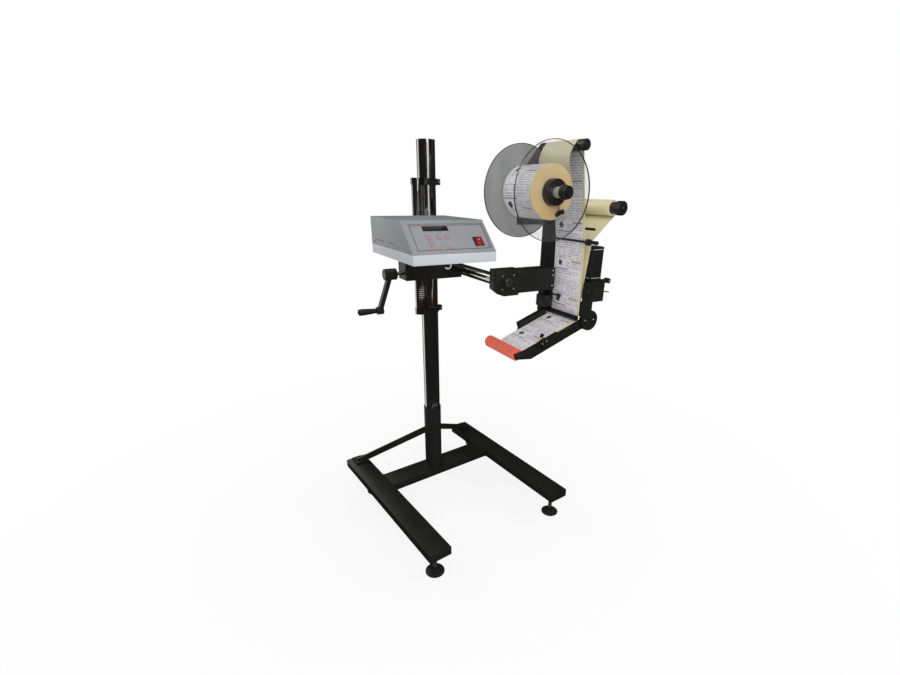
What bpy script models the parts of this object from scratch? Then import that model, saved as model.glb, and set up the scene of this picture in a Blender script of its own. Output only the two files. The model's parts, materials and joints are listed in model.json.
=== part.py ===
"""Label applicator on a floor stand, built piece by piece at its real size.

Metres, +Z up. +X runs along the cross beam towards the applicator head, -Y is the
side that the operator faces. The column, carriage, control box and head are square
to the axes; the stand below them is turned a little, as it was left in its socket.
"""
import math

import bmesh
import bpy
from mathutils import Matrix, Vector

# Running and seating gaps
GAP = 0.0003
OVERRUN = 0.004
RUN_GAP = 0.0005
MERGE_STEP = 0.0004
SMALL_EDGE = 0.001
ROD_EDGE = 0.0012
MERGE = 0.000001

# Stand
STAND_TURN = math.radians(6.6)
RAIL_WIDTH = 0.088
RAIL_HEIGHT = 0.034
RAIL_REAR = 0.261
RAIL_FRONT = -0.491
RAIL_LEFT_X = -0.270
RAIL_RIGHT_X = 0.314
STAND_TOP = 0.126
RAIL_EDGE = 0.0018
BEAM_REAR = 0.056
BEAM_FRONT = -0.040
SOCKET_TOP = 0.424
SOCKET_WALL = 0.0035
BRACE_HEIGHT = 0.025
BRACE_THICK = 0.012
BRACE_AT_SOCKET = 0.306
BRACE_LANDING_Y = 0.222
BRACE_FOOT_LENGTH = 0.060
BRACE_FOOT_WIDTH = 0.042
BRACE_FOOT_THICK = 0.007
FOOT_INSET = 0.045
FOOT_REAR_INSET = 0.131
FOOT_REAR_SHIFT = 0.030
FOOT_RADIUS = 0.035
FOOT_RIM = 0.006
FOOT_HEIGHT = 0.016
FOOT_NECK_RADIUS = 0.011
STEM_RADIUS = 0.008
NUT_RADIUS = 0.0125
NUT_HEIGHT = 0.010

# Column, rack tube and their collars
COLUMN_RADIUS = 0.0325
COLUMN_WALL = 0.004
COLUMN_TOP = 1.443
RACK_RADIUS = 0.0185
RACK_WALL = 0.006
RACK_BEARING = math.radians(204.0)
RACK_TUBE_GAP = 0.002
RACK_LOW = 0.847
RACK_HIGH = 1.309
RACK_TEETH_MARGIN = 0.026
COLLAR_HEIGHT = 0.022
COLLAR_WALL = 0.0042
RACK_COLLAR_WALL = 0.0028
COLLAR_LOW_Z = 0.841
COLLAR_HIGH_Z = 1.299

# Lift gear
GEAR_MODULE = 0.0025
PINION_TEETH = 12
PRESSURE_ANGLE = math.radians(20.0)
ADDENDUM_SHARE = 0.7
TOOTH_CLEARANCE = 0.0005
TOOTH_BACKLASH = 0.0005
PINION_WIDTH = 0.014
FLANK_STEPS = 5
POCKET_GAP = 0.001
CRANK_Z = 1.004
CRANK_SHAFT_RADIUS = 0.006
CRANK_SHAFT_END = 0.026

# Carriage
CARRIAGE_LEFT = -0.125
CARRIAGE_RIGHT = 0.100
CARRIAGE_FRONT = -0.082
CARRIAGE_REAR = -0.006
CARRIAGE_LOW = 0.980
CARRIAGE_HIGH = 1.088
CARRIAGE_EDGE = 0.003
SLEEVE_RADIUS = 0.044
SLEEVE_STEP = 0.004
SLEEVE_RACK_WALL = 0.0075
BORE_GAP = 0.0004

# Control box
BOX_LEFT = -0.2815
BOX_WIDTH = 0.2464
BOX_FRONT = -0.5379
BOX_DEPTH = 0.3255
BOX_LOW = 1.1031
BOX_HEIGHT = 0.1045
BOX_BAND = 0.0264
BOX_SLOPE_RUN = 0.0813
BOX_WALL = 0.002
BRACKET_THICK = BOX_LOW - CARRIAGE_HIGH - GAP - GAP
BRACKET_LEFT = -0.122
BRACKET_RIGHT = -0.040
BRACKET_FRONT = -0.430
BRACKET_REAR = -0.044
VENT_HEIGHT = 0.004
VENT_Z = 1.143
VENTS = ((-0.317, -0.252), (-0.404, -0.358))
BOX_EDGE = 0.001

# Control panel, in its own plane: across from the box's left edge, up the slope
PANEL_LEFT = 0.0165
PANEL_RIGHT = 0.2392
PANEL_LOW = 0.0105
PANEL_HIGH = 0.1010
PANEL_THICK = 0.003
PANEL_LIP = 0.003
DISPLAY_DEPTH = 0.0015
DISPLAY_LEFT = 0.054
DISPLAY_RIGHT = 0.129
DISPLAY_LOW = 0.0775
DISPLAY_HIGH = 0.0945
KEY_SIZE = 0.0125
KEY_THICK = 0.0036
KEY_GAP = 0.0003
KEY_PROUD = 0.0007
KEY_EDGE = 0.0004
GREEN_KEY = 6
KEY_CENTRES = (
    (0.0620, 0.0557), (0.0642, 0.0385), (0.0648, 0.0212), (0.0925, 0.0557),
    (0.1164, 0.0562), (0.0905, 0.0215), (0.1180, 0.0222),
)
ROCKER_X = 0.2055
ROCKER_UP = 0.0368
ROCKER_WIDTH = 0.0185
ROCKER_LENGTH = 0.0215
ROCKER_RIM = 0.0035
ROCKER_RIM_PROUD = 0.0030
ROCKER_PIVOT = -0.0005
ROCKER_CROWN = 0.0052
ROCKER_DISH = 0.0012
ROCKER_DEPTH = 0.0045
ROCKER_CLEARANCE = 0.0011
ROCKER_TRAVEL = math.radians(8.0)

# Crank
CRANK_HUB_LEFT = -0.198
CRANK_HUB_RIGHT = -0.152
CRANK_HUB_RADIUS = 0.020
CRANK_KNUCKLE = (-0.2134, -0.030, 0.8722)
CRANK_KNUCKLE_RADIUS = 0.014
CRANK_KNUCKLE_LENGTH = 0.024
CRANK_ARM_HALF = 0.0105
CRANK_ARM_THICK = 0.016
HUB_FACE = 0.006
HUB_ROUND = 0.002
GRIP_LENGTH = 0.068
GRIP_RADIUS = 0.0120
GRIP_NECK_RADIUS = 0.0085
GRIP_PIN_RADIUS = 0.0040
GRIP_PIN_PROUD = 0.0025
GRIP_SHOULDER_SHARE = 0.75
GRIP_ROUND = 0.003

# Arm and head mounting
ARM_X = 0.065
ARM_Z = 1.021
ARM_RADIUS = 0.019
ARM_REAR = 0.035
FLANGE_RADIUS = 0.030
FLANGE_THICK = 0.011
BLOCK_LEFT = 0.038
BLOCK_RIGHT = 0.125
BLOCK_FRONT = -0.427
BLOCK_REAR = -0.385
BLOCK_LOW = 0.974
BLOCK_HIGH = 1.058
BLOCK_CHAMFER_X = 0.030
BLOCK_CHAMFER_Z = 0.022
BLOCK_FACE = 0.0042
PLATE_FRONT = -0.402
PLATE_REAR = -0.346
PLATE_HIGH = 1.048
BAR_LEFT = 0.290
BAR_RIGHT = 0.312
BAR_FRONT = -0.374
BAR_REAR = -0.314
BAR_LOW = 0.905
BAR_HIGH = 1.262
PIN_X = 0.303
PIN_Z = 1.181
PIN_RADIUS = 0.004
PIN_FRONT = -0.556
SENSOR_LEFT = 0.256
SENSOR_LOW = 0.914
SENSOR_HIGH = 0.953
SENSOR_FRONT = -0.398
SENSOR_REAR = -0.350
SENSOR_ROD_X = 0.283
SENSOR_ROD_Z = 0.961
SENSOR_POST_HALF = 0.0055
SENSOR_POST_LENGTH = 0.012
SENSOR_ROD_RADIUS = 0.003
SENSOR_TIP_RADIUS = 0.0058
SENSOR_TIP_LENGTH = 0.012
SENSOR_REACH = 0.046

# Spool
SPOOL_X = 0.153
SPOOL_Z = 1.282
DISC_RADIUS = 0.134
DISC_THICK = 0.005
DISC_REAR_FACE = -0.371
WEB_REAR = -0.3837
WEB_FRONT = -0.5261
WEB_SIDE_GAP = 0.0034
HUB_RADIUS = 0.0355
HUB_FACE_LENGTH = 0.0145
ROLL_RADIUS = 0.0744
CORE_RADIUS = 0.0378
SPINDLE_RADIUS = 0.015
SPINDLE_END = -0.575
KNOB_RING = 0.011
KNOB_GROOVE = 0.003
KNOB_TIP = 0.009
KNOB_RADIUS = 0.0195
KNOB_GROOVE_RADIUS = 0.0145
KNOB_MIDDLE_RADIUS = 0.0172
KNOB_TIP_RADIUS = 0.0105
ARM_PLATE_REAR = -0.3555
ARM_PLATE_THICK = 0.012
BOSS_RADIUS = 0.030
ROLLER_BOSS_RADIUS = 0.017
ARM_FOOT_LOW = 1.185
HUB_PROUD = 0.001

# Rollers and rods of the head
ROLLER_X = 0.2395
ROLLER_Z = 1.4053
ROLLER_RADIUS = 0.0150
ROLLER_FRONT = -0.555
ROLLER_STUB_RADIUS = 0.005
GUIDE_X = 0.292
GUIDE_Z = 1.143
GUIDE_RADIUS = 0.0035
GUIDE_CAP_RADIUS = 0.010
GUIDE_FRONT = -0.552
GUIDE_CAP_LENGTH = 0.012
LINER_ROD_X = 0.331
LINER_ROD_Z = 1.139
LINER_ROD_RADIUS = 0.006
LINER_ROD_FRONT = -0.546
LINER_BOSS_RADIUS = 0.014
DRIVE_X = 0.3265
DRIVE_Z = 0.983
DRIVE_RADIUS = 0.020
JOURNAL_RADIUS = 0.005
REWIND_X = 0.399
REWIND_Z = 1.241
REWIND_CORE_RADIUS = 0.0175
REWIND_CAP_RADIUS = 0.0212
REWIND_ROLL_RADIUS = 0.0235
REWIND_FRONT = -0.566
REWIND_CAP_LENGTH = 0.018
REWIND_BOSS_RADIUS = 0.020
BRACKET_FOOT_HEIGHT = 0.075

# Side plates, gearbox and motor of the head
REAR_PLATE_THICK = 0.004
FRONT_PLATE_THICK = 0.008
PLATE_RIGHT = 0.386
PLATE_NECK_RIGHT = 0.341
PLATE_HEAD_LOW = 0.953
FRONT_PLATE_LEFT = 0.300
HEAD_PLATE_HIGH = 1.018
TIE_X = 0.329
TIE_Z = 0.944
TIE_RADIUS = 0.006
GEARBOX_LEFT = 0.348
GEARBOX_LOW = 0.953
GEARBOX_REAR = -0.474
MOTOR_SIZE = 0.046
MOTOR_RIGHT = 0.3845
MOTOR_HIGH = 1.125
MOTOR_CORNER = 0.005
MOTOR_INSET = 0.001

# Peel table, in its own frame: the hinge at zero, -X down the slope
TABLE_X = 0.337
TABLE_Z = 0.892
TABLE_SLOPE = math.radians(20.0)
TABLE_THICK = 0.006
TABLE_FRONT = -0.247
TABLE_BACK = -0.030
TABLE_ARM_GAP = 0.0007
TABLE_WEB_END = -0.032
TURN_INSET = 0.0008
FLANGE_DISC_RADIUS = 0.034
SLOT_WIDTH = 0.007
SLOT_LENGTH = 0.018
SLOT_OFFSET = 0.018
PIVOT_RADIUS = 0.006
SIDE_PLATE_THICK = 0.008
SIDE_PLATE_GAP = 0.0009
SIDE_LOW = -0.018
SIDE_NECK_HIGH = 0.012
SIDE_TALL = 0.020
SIDE_TALL_FROM = -0.129
SIDE_TALL_TO = -0.262
SIDE_FRONT_LOW = -0.248
SIDE_TIP_LOW = 0.008
SIDE_TIP_HIGH = 0.026
SIDE_TIP = -0.300
REAR_ARM_FRONT = -0.172
REAR_ARM_HALF = 0.0115
REAR_ARM_REAR = -0.365
REAR_ARM_THICK_FROM = -0.052
REAR_ARM_HIGH = 0.0330
REAR_ARM_LOW = -0.0035
TURN_X = -0.0385
TURN_Z = 0.0232
TURN_RADIUS = 0.0085
WIPE_X = -0.2885
WIPE_Z = 0.0177
WIPE_RADIUS = 0.020
WIPE_REAR = -0.362
WIPE_JOURNAL_RADIUS = 0.004

# Web
WEB_THICK = 0.0006
WEB_LIFT = 0.0008
ROLL_WRAP_GAP = 0.0006
ROLL_WRAP = math.radians(30.0)
BOW_START_ANGLE = math.radians(6.0)
BOW_END_ANGLE = math.radians(138.0)
BOW_START_HANDLE = 0.050
BOW_END_HANDLE = 0.072
BOW_STEPS = 14
WEB_BREAK = 0.003
LINER_TAIL = 0.045
LINER_WRAP = math.radians(60.0)

# Rounding and resolution
SMOOTH_ANGLE = math.radians(35.0)
BIG_STEPS = 64
ROUND_STEPS = 40
SMALL_STEPS = 20
ARC_STEP = math.radians(12.0)

AXIS_TURNS = {
    "X": Matrix.Rotation(math.pi / 2, 4, "Y"),
    "Y": Matrix.Rotation(-math.pi / 2, 4, "X"),
    "Z": Matrix.Identity(4),
}

FINISHES = {
    "black_paint": ((0.018, 0.018, 0.018), 0.45, 0.0),
    "black_plastic": ((0.012, 0.012, 0.012), 0.35, 0.0),
    "chrome": ((0.62, 0.62, 0.63), 0.12, 1.0),
    "steel": ((0.42, 0.42, 0.43), 0.30, 1.0),
    "grey_paint": ((0.36, 0.37, 0.39), 0.45, 0.0),
    "panel_grey": ((0.40, 0.41, 0.45), 0.40, 0.0),
    "display": ((0.02, 0.03, 0.02), 0.15, 0.0),
    "key_white": ((0.60, 0.58, 0.62), 0.50, 0.0),
    "key_green": ((0.42, 0.58, 0.40), 0.50, 0.0),
    "red_plastic": ((0.62, 0.02, 0.015), 0.30, 0.0),
    "clear_plastic": ((0.70, 0.72, 0.72), 0.08, 0.0),
    "liner": ((0.62, 0.57, 0.36), 0.50, 0.0),
    "label_paper": ((0.72, 0.70, 0.78), 0.45, 0.0),
    "roll_side": ((0.78, 0.60, 0.30), 0.70, 0.0),
    "black_rubber": ((0.020, 0.020, 0.020), 0.70, 0.0),
    "wipe_rubber": ((0.82, 0.14, 0.07), 0.60, 0.0),
}


def clear_scene():
    for old in list(bpy.data.objects):
        bpy.data.objects.remove(old)


def finish(name):
    """The material of a finish, made on first use."""
    found = bpy.data.materials.get(name)
    if found:
        return found
    colour, roughness, metallic = FINISHES[name]
    made = bpy.data.materials.new(name)
    made.use_nodes = True
    shader = made.node_tree.nodes["Principled BSDF"]
    shader.inputs["Base Color"].default_value = (*colour, 1.0)
    shader.inputs["Roughness"].default_value = roughness
    shader.inputs["Metallic"].default_value = metallic
    made.diffuse_color = (*colour, 1.0)
    return made


def empty(name, place=(0, 0, 0), turn=(0, 0, 0), parent=None):
    made = bpy.data.objects.new(name, None)
    made.location = place
    made.rotation_euler = turn
    made.parent = parent
    bpy.context.collection.objects.link(made)
    return made


def piece(name, bm, look, parent, pivot=(0, 0, 0)):
    """Make the object of a closed bmesh, with its origin on its pivot."""
    bmesh.ops.recalc_face_normals(bm, faces=bm.faces)
    bmesh.ops.translate(bm, verts=bm.verts, vec=-Vector(pivot))
    mesh = bpy.data.meshes.new(name)
    bm.to_mesh(mesh)
    bm.free()
    mesh.materials.append(finish(look))
    mesh.shade_smooth()
    mesh.set_sharp_from_angle(angle=SMOOTH_ANGLE)
    made = bpy.data.objects.new(name, mesh)
    made.location = pivot
    made.parent = parent
    bpy.context.collection.objects.link(made)
    return made


def shape_with(target, bm, operation="DIFFERENCE"):
    """Cut a closed bmesh out of a piece, or join it to the piece."""
    label = f"{target.name}_tool_{len(target.modifiers)}"
    tool = piece(label, bm, "steel", target.parent)
    tool.hide_render = True
    tool.display_type = "WIRE"
    change = target.modifiers.new(label, "BOOLEAN")
    change.operation = operation
    change.solver = "EXACT"
    change.object = tool


def turned(axis, centre, profile, steps=ROUND_STEPS, ring=False):
    """Turn a profile of (radius, distance along the axis) about an axis.

    centre holds the two coordinates that are square to the axis. Flat ends stay one face,
    so that a coaxial cut never meets the edges of a fan.
    """
    bm = bmesh.new()
    points = [bm.verts.new((radius, 0, along)) for radius, along in profile]
    pairs = list(zip(points, points[1:]))
    if ring:
        pairs.append((points[-1], points[0]))
    edges = [bm.edges.new(pair) for pair in pairs]
    bmesh.ops.spin(
        bm, geom=points + edges, cent=(0, 0, 0), axis=(0, 0, 1),
        angle=math.tau, steps=steps, use_merge=True, use_duplicate=False,
    )
    bmesh.ops.remove_doubles(bm, verts=bm.verts, dist=MERGE)
    hubs = [vert for vert in bm.verts if vert.co.xy.length < MERGE]
    bmesh.ops.dissolve_verts(bm, verts=hubs)
    bmesh.ops.transform(bm, matrix=AXIS_TURNS[axis], verts=bm.verts)
    first, second = centre
    shift = {"X": (0, first, second), "Y": (first, 0, second), "Z": (first, second, 0)}[axis]
    bmesh.ops.translate(bm, verts=bm.verts, vec=shift)
    return bm


def rod(axis, centre, radius, low, high, steps=ROUND_STEPS):
    return turned(axis, centre, [(0, low), (radius, low), (radius, high), (0, high)], steps)


def tube(axis, centre, outer, inner, low, high, steps=ROUND_STEPS):
    profile = [(inner, low), (outer, low), (outer, high), (inner, high)]
    return turned(axis, centre, profile, steps, ring=True)


def prism(axis, outline, low, high, bm=None):
    """Extrude an outline given in the two coordinates that are square to the axis."""
    bm = bm or bmesh.new()
    at = {
        "X": lambda first, second: (low, first, second),
        "Y": lambda first, second: (first, low, second),
        "Z": lambda first, second: (first, second, low),
    }[axis]
    along = {"X": Vector((1, 0, 0)), "Y": Vector((0, 1, 0)), "Z": Vector((0, 0, 1))}[axis]
    face = bm.faces.new([bm.verts.new(at(first, second)) for first, second in outline])
    grown = bmesh.ops.extrude_face_region(bm, geom=[face])
    moved = [item for item in grown["geom"] if isinstance(item, bmesh.types.BMVert)]
    bmesh.ops.translate(bm, verts=moved, vec=along * (high - low))
    return bm


def block(low, high, edge=0.0):
    """A box from its lowest to its highest corner, with rounded edges if asked."""
    bm = bmesh.new()
    bmesh.ops.create_cube(bm, size=1)
    size = [top - bottom for bottom, top in zip(low, high)]
    middle = [(top + bottom) / 2 for bottom, top in zip(low, high)]
    bmesh.ops.scale(bm, vec=size, verts=bm.verts)
    bmesh.ops.translate(bm, vec=middle, verts=bm.verts)
    if edge:
        soften(bm, edge)
    return bm


def soften(bm, width, segments=2):
    bmesh.ops.bevel(
        bm, geom=list(bm.edges), offset=width, offset_type="OFFSET",
        segments=segments, profile=0.5, affect="EDGES", clamp_overlap=True,
    )


def arc(centre, radius, start, end, step=ARC_STEP):
    """Points of an arc, both ends included."""
    count = max(1, math.ceil(abs(end - start) / step))
    angles = [start + (end - start) * index / count for index in range(count + 1)]
    return [(centre[0] + radius * math.cos(a), centre[1] + radius * math.sin(a)) for a in angles]


def belt_outline(one, one_radius, two, two_radius):
    """The outline that a tight belt draws round two circles."""
    run = math.dist(one, two)
    heading = math.atan2(two[1] - one[1], two[0] - one[0])
    spread = math.acos((one_radius - two_radius) / run)
    back = arc(one, one_radius, heading + spread, heading - spread + math.tau)
    front = arc(two, two_radius, heading - spread, heading + spread)
    return back + front


def beam_between(start, end, width, height):
    """A bar of rectangular section from start to end, its height kept upright."""
    start = Vector(start)
    end = Vector(end)
    run = end - start
    side = run.cross(Vector((0, 0, 1))).normalized()
    up = side.cross(run).normalized()
    bm = bmesh.new()
    rings = []
    for place in (start, end):
        corners = [(-1, -1), (1, -1), (1, 1), (-1, 1)]
        rings.append([
            bm.verts.new(place + side * (width / 2 * across) + up * (height / 2 * rise))
            for across, rise in corners
        ])
    bm.faces.new(rings[0])
    bm.faces.new(rings[1][::-1])
    for index in range(len(corners)):
        after = (index + 1) % len(corners)
        bm.faces.new([rings[0][index], rings[1][index], rings[1][after], rings[0][after]])
    return bm


def on_circle(centre, radius, angle):
    return (centre[0] + radius * math.cos(angle), centre[1] + radius * math.sin(angle))


def stand_pieces(stand):
    """Two rails, the beam between them, the column socket, its braces and four feet."""
    rail_low = STAND_TOP - RAIL_HEIGHT
    half = RAIL_WIDTH / 2
    for name, x in (("left_rail", RAIL_LEFT_X), ("right_rail", RAIL_RIGHT_X)):
        rail = piece(
            name,
            block((x - half, RAIL_FRONT, rail_low), (x + half, RAIL_REAR, STAND_TOP), RAIL_EDGE),
            "black_paint", stand,
        )
        for place in foot_places(x):
            hole = rod("Z", place, STEM_RADIUS + GAP, rail_low - OVERRUN, STAND_TOP - OVERRUN, SMALL_STEPS)
            shape_with(rail, hole)
    piece(
        "cross_beam",
        block((RAIL_LEFT_X + half + GAP, BEAM_FRONT, rail_low),
              (RAIL_RIGHT_X - half - GAP, BEAM_REAR, STAND_TOP), RAIL_EDGE),
        "black_paint", stand,
    )
    socket_bore = COLUMN_RADIUS + GAP
    socket_radius = socket_bore + SOCKET_WALL
    piece(
        "column_socket",
        tube("Z", (0, 0), socket_radius, socket_bore, STAND_TOP + GAP, SOCKET_TOP, BIG_STEPS),
        "black_paint", stand,
    )
    for name, x in (("brace_left", RAIL_LEFT_X), ("brace_right", RAIL_RIGHT_X)):
        brace(name, x, socket_radius, stand)
    for side, x in (("left", RAIL_LEFT_X), ("right", RAIL_RIGHT_X)):
        for end, place in zip(("front", "rear"), foot_places(x)):
            foot(f"foot_{end}_{side}", *place, stand)


def foot_places(rail_x):
    """Front and rear foot of a rail; the rear one sits further in."""
    inward = -math.copysign(FOOT_REAR_SHIFT, rail_x)
    return (rail_x, RAIL_FRONT + FOOT_INSET), (rail_x + inward, RAIL_REAR - FOOT_REAR_INSET)


def brace(name, rail_x, socket_radius, stand):
    """A bar from the socket down to a flat landing on top of a rail's rear end."""
    heading = Vector((rail_x, BRACE_LANDING_Y)).normalized()
    start = heading * (socket_radius - OVERRUN)
    low = STAND_TOP + GAP
    made = piece(
        name,
        beam_between((*start, BRACE_AT_SOCKET), (rail_x, BRACE_LANDING_Y, low), BRACE_THICK, BRACE_HEIGHT),
        "black_paint", stand,
    )
    landing = block(
        (rail_x - BRACE_FOOT_WIDTH / 2, BRACE_LANDING_Y - BRACE_FOOT_LENGTH / 2, low),
        (rail_x + BRACE_FOOT_WIDTH / 2, BRACE_LANDING_Y + BRACE_FOOT_LENGTH / 2, low + BRACE_FOOT_THICK),
    )
    shape_with(made, landing, "UNION")
    reach = BRACE_FOOT_LENGTH
    under = block(
        (rail_x - reach, BRACE_LANDING_Y - reach, low - BRACE_HEIGHT - OVERRUN),
        (rail_x + reach, BRACE_LANDING_Y + reach, low),
    )
    shape_with(made, under)
    shape_with(made, rod("Z", (0, 0), socket_radius + GAP, low, SOCKET_TOP + OVERRUN, BIG_STEPS))


def foot(name, x, y, stand):
    """A levelling foot: dished base, threaded stem and the nut that locks it."""
    rail_low = STAND_TOP - RAIL_HEIGHT
    nut_low = rail_low - GAP - NUT_HEIGHT
    profile = [
        (0, 0), (FOOT_RADIUS - FOOT_RIM / 2, 0), (FOOT_RADIUS, FOOT_RIM / 2), (FOOT_RADIUS, FOOT_RIM),
        (FOOT_NECK_RADIUS, FOOT_HEIGHT), (STEM_RADIUS, FOOT_HEIGHT), (STEM_RADIUS, nut_low),
        (NUT_RADIUS, nut_low), (NUT_RADIUS, nut_low + NUT_HEIGHT), (STEM_RADIUS, nut_low + NUT_HEIGHT),
        (STEM_RADIUS, STAND_TOP - OVERRUN - OVERRUN), (0, STAND_TOP - OVERRUN - OVERRUN),
    ]
    piece(name, turned("Z", (x, y), profile, SMALL_STEPS + SMALL_STEPS), "black_plastic", stand, (x, y, 0))


def rack_centre():
    run = COLUMN_RADIUS + RACK_RADIUS + RACK_TUBE_GAP
    return (run * math.cos(RACK_BEARING), run * math.sin(RACK_BEARING))


def pitch_radius():
    return GEAR_MODULE * PINION_TEETH / 2


def crank_y():
    """The pinion's axis: its pitch circle meets the rack's pitch line."""
    return rack_centre()[1] - RACK_RADIUS + GEAR_MODULE * ADDENDUM_SHARE - pitch_radius()


def column_pieces(machine):
    """The chrome column, the toothed tube beside it and two collars round both."""
    bottom = STAND_TOP + GAP + GAP
    piece(
        "column_tube",
        tube("Z", (0, 0), COLUMN_RADIUS, COLUMN_RADIUS - COLUMN_WALL, bottom, COLUMN_TOP, BIG_STEPS),
        "chrome", machine,
    )
    centre = rack_centre()
    rack = piece(
        "rack_tube",
        tube("Z", centre, RACK_RADIUS, RACK_RADIUS - RACK_WALL, RACK_LOW, RACK_HIGH),
        "chrome", machine,
    )
    shape_with(rack, rack_comb(centre))
    for name, low in (("collar_lower", COLLAR_LOW_Z), ("collar_upper", COLLAR_HIGH_Z)):
        outline = belt_outline((0, 0), COLUMN_RADIUS + COLLAR_WALL, centre, RACK_RADIUS + RACK_COLLAR_WALL)
        collar = piece(name, prism("Z", outline, low, low + COLLAR_HEIGHT), "black_paint", machine)
        for place, radius in (((0, 0), COLUMN_RADIUS), (centre, RACK_RADIUS)):
            bore = rod("Z", place, radius + GAP, low - OVERRUN, low + COLLAR_HEIGHT + OVERRUN, BIG_STEPS)
            shape_with(collar, bore)


def rack_comb(centre):
    """The cutter that leaves the rack's teeth on the tube's front side."""
    pitch = math.pi * GEAR_MODULE
    face = centre[1] - RACK_RADIUS
    pitch_line = face + GEAR_MODULE * ADDENDUM_SHARE
    root = pitch_line + GEAR_MODULE * ADDENDUM_SHARE + TOOTH_CLEARANCE
    outside = face - TOOTH_CLEARANCE
    slant = math.tan(PRESSURE_ANGLE)
    half_gap = (pitch + TOOTH_BACKLASH) / 4
    at_outside = half_gap + (pitch_line - outside) * slant
    at_root = half_gap - (root - pitch_line) * slant
    left = centre[0] - RACK_RADIUS - OVERRUN
    right = centre[0] + RACK_RADIUS + OVERRUN
    first = math.ceil((RACK_LOW + RACK_TEETH_MARGIN - CRANK_Z) / pitch)
    last = math.floor((RACK_HIGH - RACK_TEETH_MARGIN - CRANK_Z) / pitch)
    bm = bmesh.new()
    for index in range(first, last):
        middle = CRANK_Z + pitch * index + pitch / 2
        outline = [
            (outside, middle - at_outside), (root, middle - at_root),
            (root, middle + at_root), (outside, middle + at_outside),
        ]
        prism("X", outline, left, right, bm)
    return bm


def pinion_outline(centre):
    """Involute teeth with a tooth gap facing the rack."""
    radius = pitch_radius()
    tip = radius + GEAR_MODULE * ADDENDUM_SHARE
    root = radius - GEAR_MODULE * ADDENDUM_SHARE - TOOTH_CLEARANCE
    base = radius * math.cos(PRESSURE_ANGLE)
    involute = math.tan(PRESSURE_ANGLE) - PRESSURE_ANGLE
    half_tooth = (math.pi * GEAR_MODULE - TOOTH_BACKLASH) / 4 / radius
    flank = [(root, half_tooth + involute)]
    for index in range(FLANK_STEPS + 1):
        at = base + (tip - base) * index / FLANK_STEPS
        lean = math.acos(min(1.0, base / at))
        flank.append((at, half_tooth + involute - (math.tan(lean) - lean)))
    pitch = math.tau / PINION_TEETH
    points = []
    for tooth in range(PINION_TEETH):
        middle = pitch * tooth + pitch / 2
        points += [on_circle(centre, at, middle - half) for at, half in flank]
        points += [on_circle(centre, at, middle + half) for at, half in reversed(flank)]
    return points


def carriage_pieces(machine):
    """The sliding block with its bores, and the bracket that carries the control box."""
    rack = rack_centre()
    gear_y = crank_y()
    pinion_x = rack[0]
    carriage = piece(
        "carriage_block",
        block((CARRIAGE_LEFT, CARRIAGE_FRONT, CARRIAGE_LOW),
              (CARRIAGE_RIGHT, CARRIAGE_REAR, CARRIAGE_HIGH), CARRIAGE_EDGE),
        "black_paint", machine,
    )
    sleeve_low = CARRIAGE_LOW + SLEEVE_STEP
    sleeve_high = CARRIAGE_HIGH - SLEEVE_STEP
    sleeve = belt_outline((0, 0), SLEEVE_RADIUS, rack, RACK_RADIUS + SLEEVE_RACK_WALL)
    shape_with(carriage, prism("Z", sleeve, sleeve_low, sleeve_high), "UNION")
    flange_front = CARRIAGE_FRONT - FLANGE_THICK
    arm_place = (ARM_X, ARM_Z)
    flange = rod("Y", arm_place, FLANGE_RADIUS, flange_front, CARRIAGE_FRONT + OVERRUN)
    shape_with(carriage, flange, "UNION")
    low = CARRIAGE_LOW - OVERRUN
    high = CARRIAGE_HIGH + OVERRUN
    shape_with(carriage, rod("Z", (0, 0), COLUMN_RADIUS + BORE_GAP, low, high, BIG_STEPS))
    shape_with(carriage, rod("Z", rack, RACK_RADIUS + BORE_GAP, low, high))
    arm_bore = rod("Y", arm_place, ARM_RADIUS + GAP, flange_front - OVERRUN, ARM_REAR)
    shape_with(carriage, arm_bore)
    pocket_half = PINION_WIDTH / 2 + POCKET_GAP
    pocket_radius = pitch_radius() + GEAR_MODULE * ADDENDUM_SHARE + POCKET_GAP
    pocket = rod("X", (gear_y, CRANK_Z), pocket_radius, pinion_x - pocket_half, pinion_x + pocket_half)
    shape_with(carriage, pocket)
    shaft_right = pinion_x + CRANK_SHAFT_END
    shaft_bore = rod(
        "X", (gear_y, CRANK_Z), CRANK_SHAFT_RADIUS + GAP, CARRIAGE_LEFT - OVERRUN, shaft_right + GAP, SMALL_STEPS,
    )
    shape_with(carriage, shaft_bore)
    piece(
        "box_bracket",
        block((BRACKET_LEFT, BRACKET_FRONT, CARRIAGE_HIGH + GAP),
              (BRACKET_RIGHT, BRACKET_REAR, CARRIAGE_HIGH + GAP + BRACKET_THICK), RAIL_EDGE),
        "black_paint", machine,
    )


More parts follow.
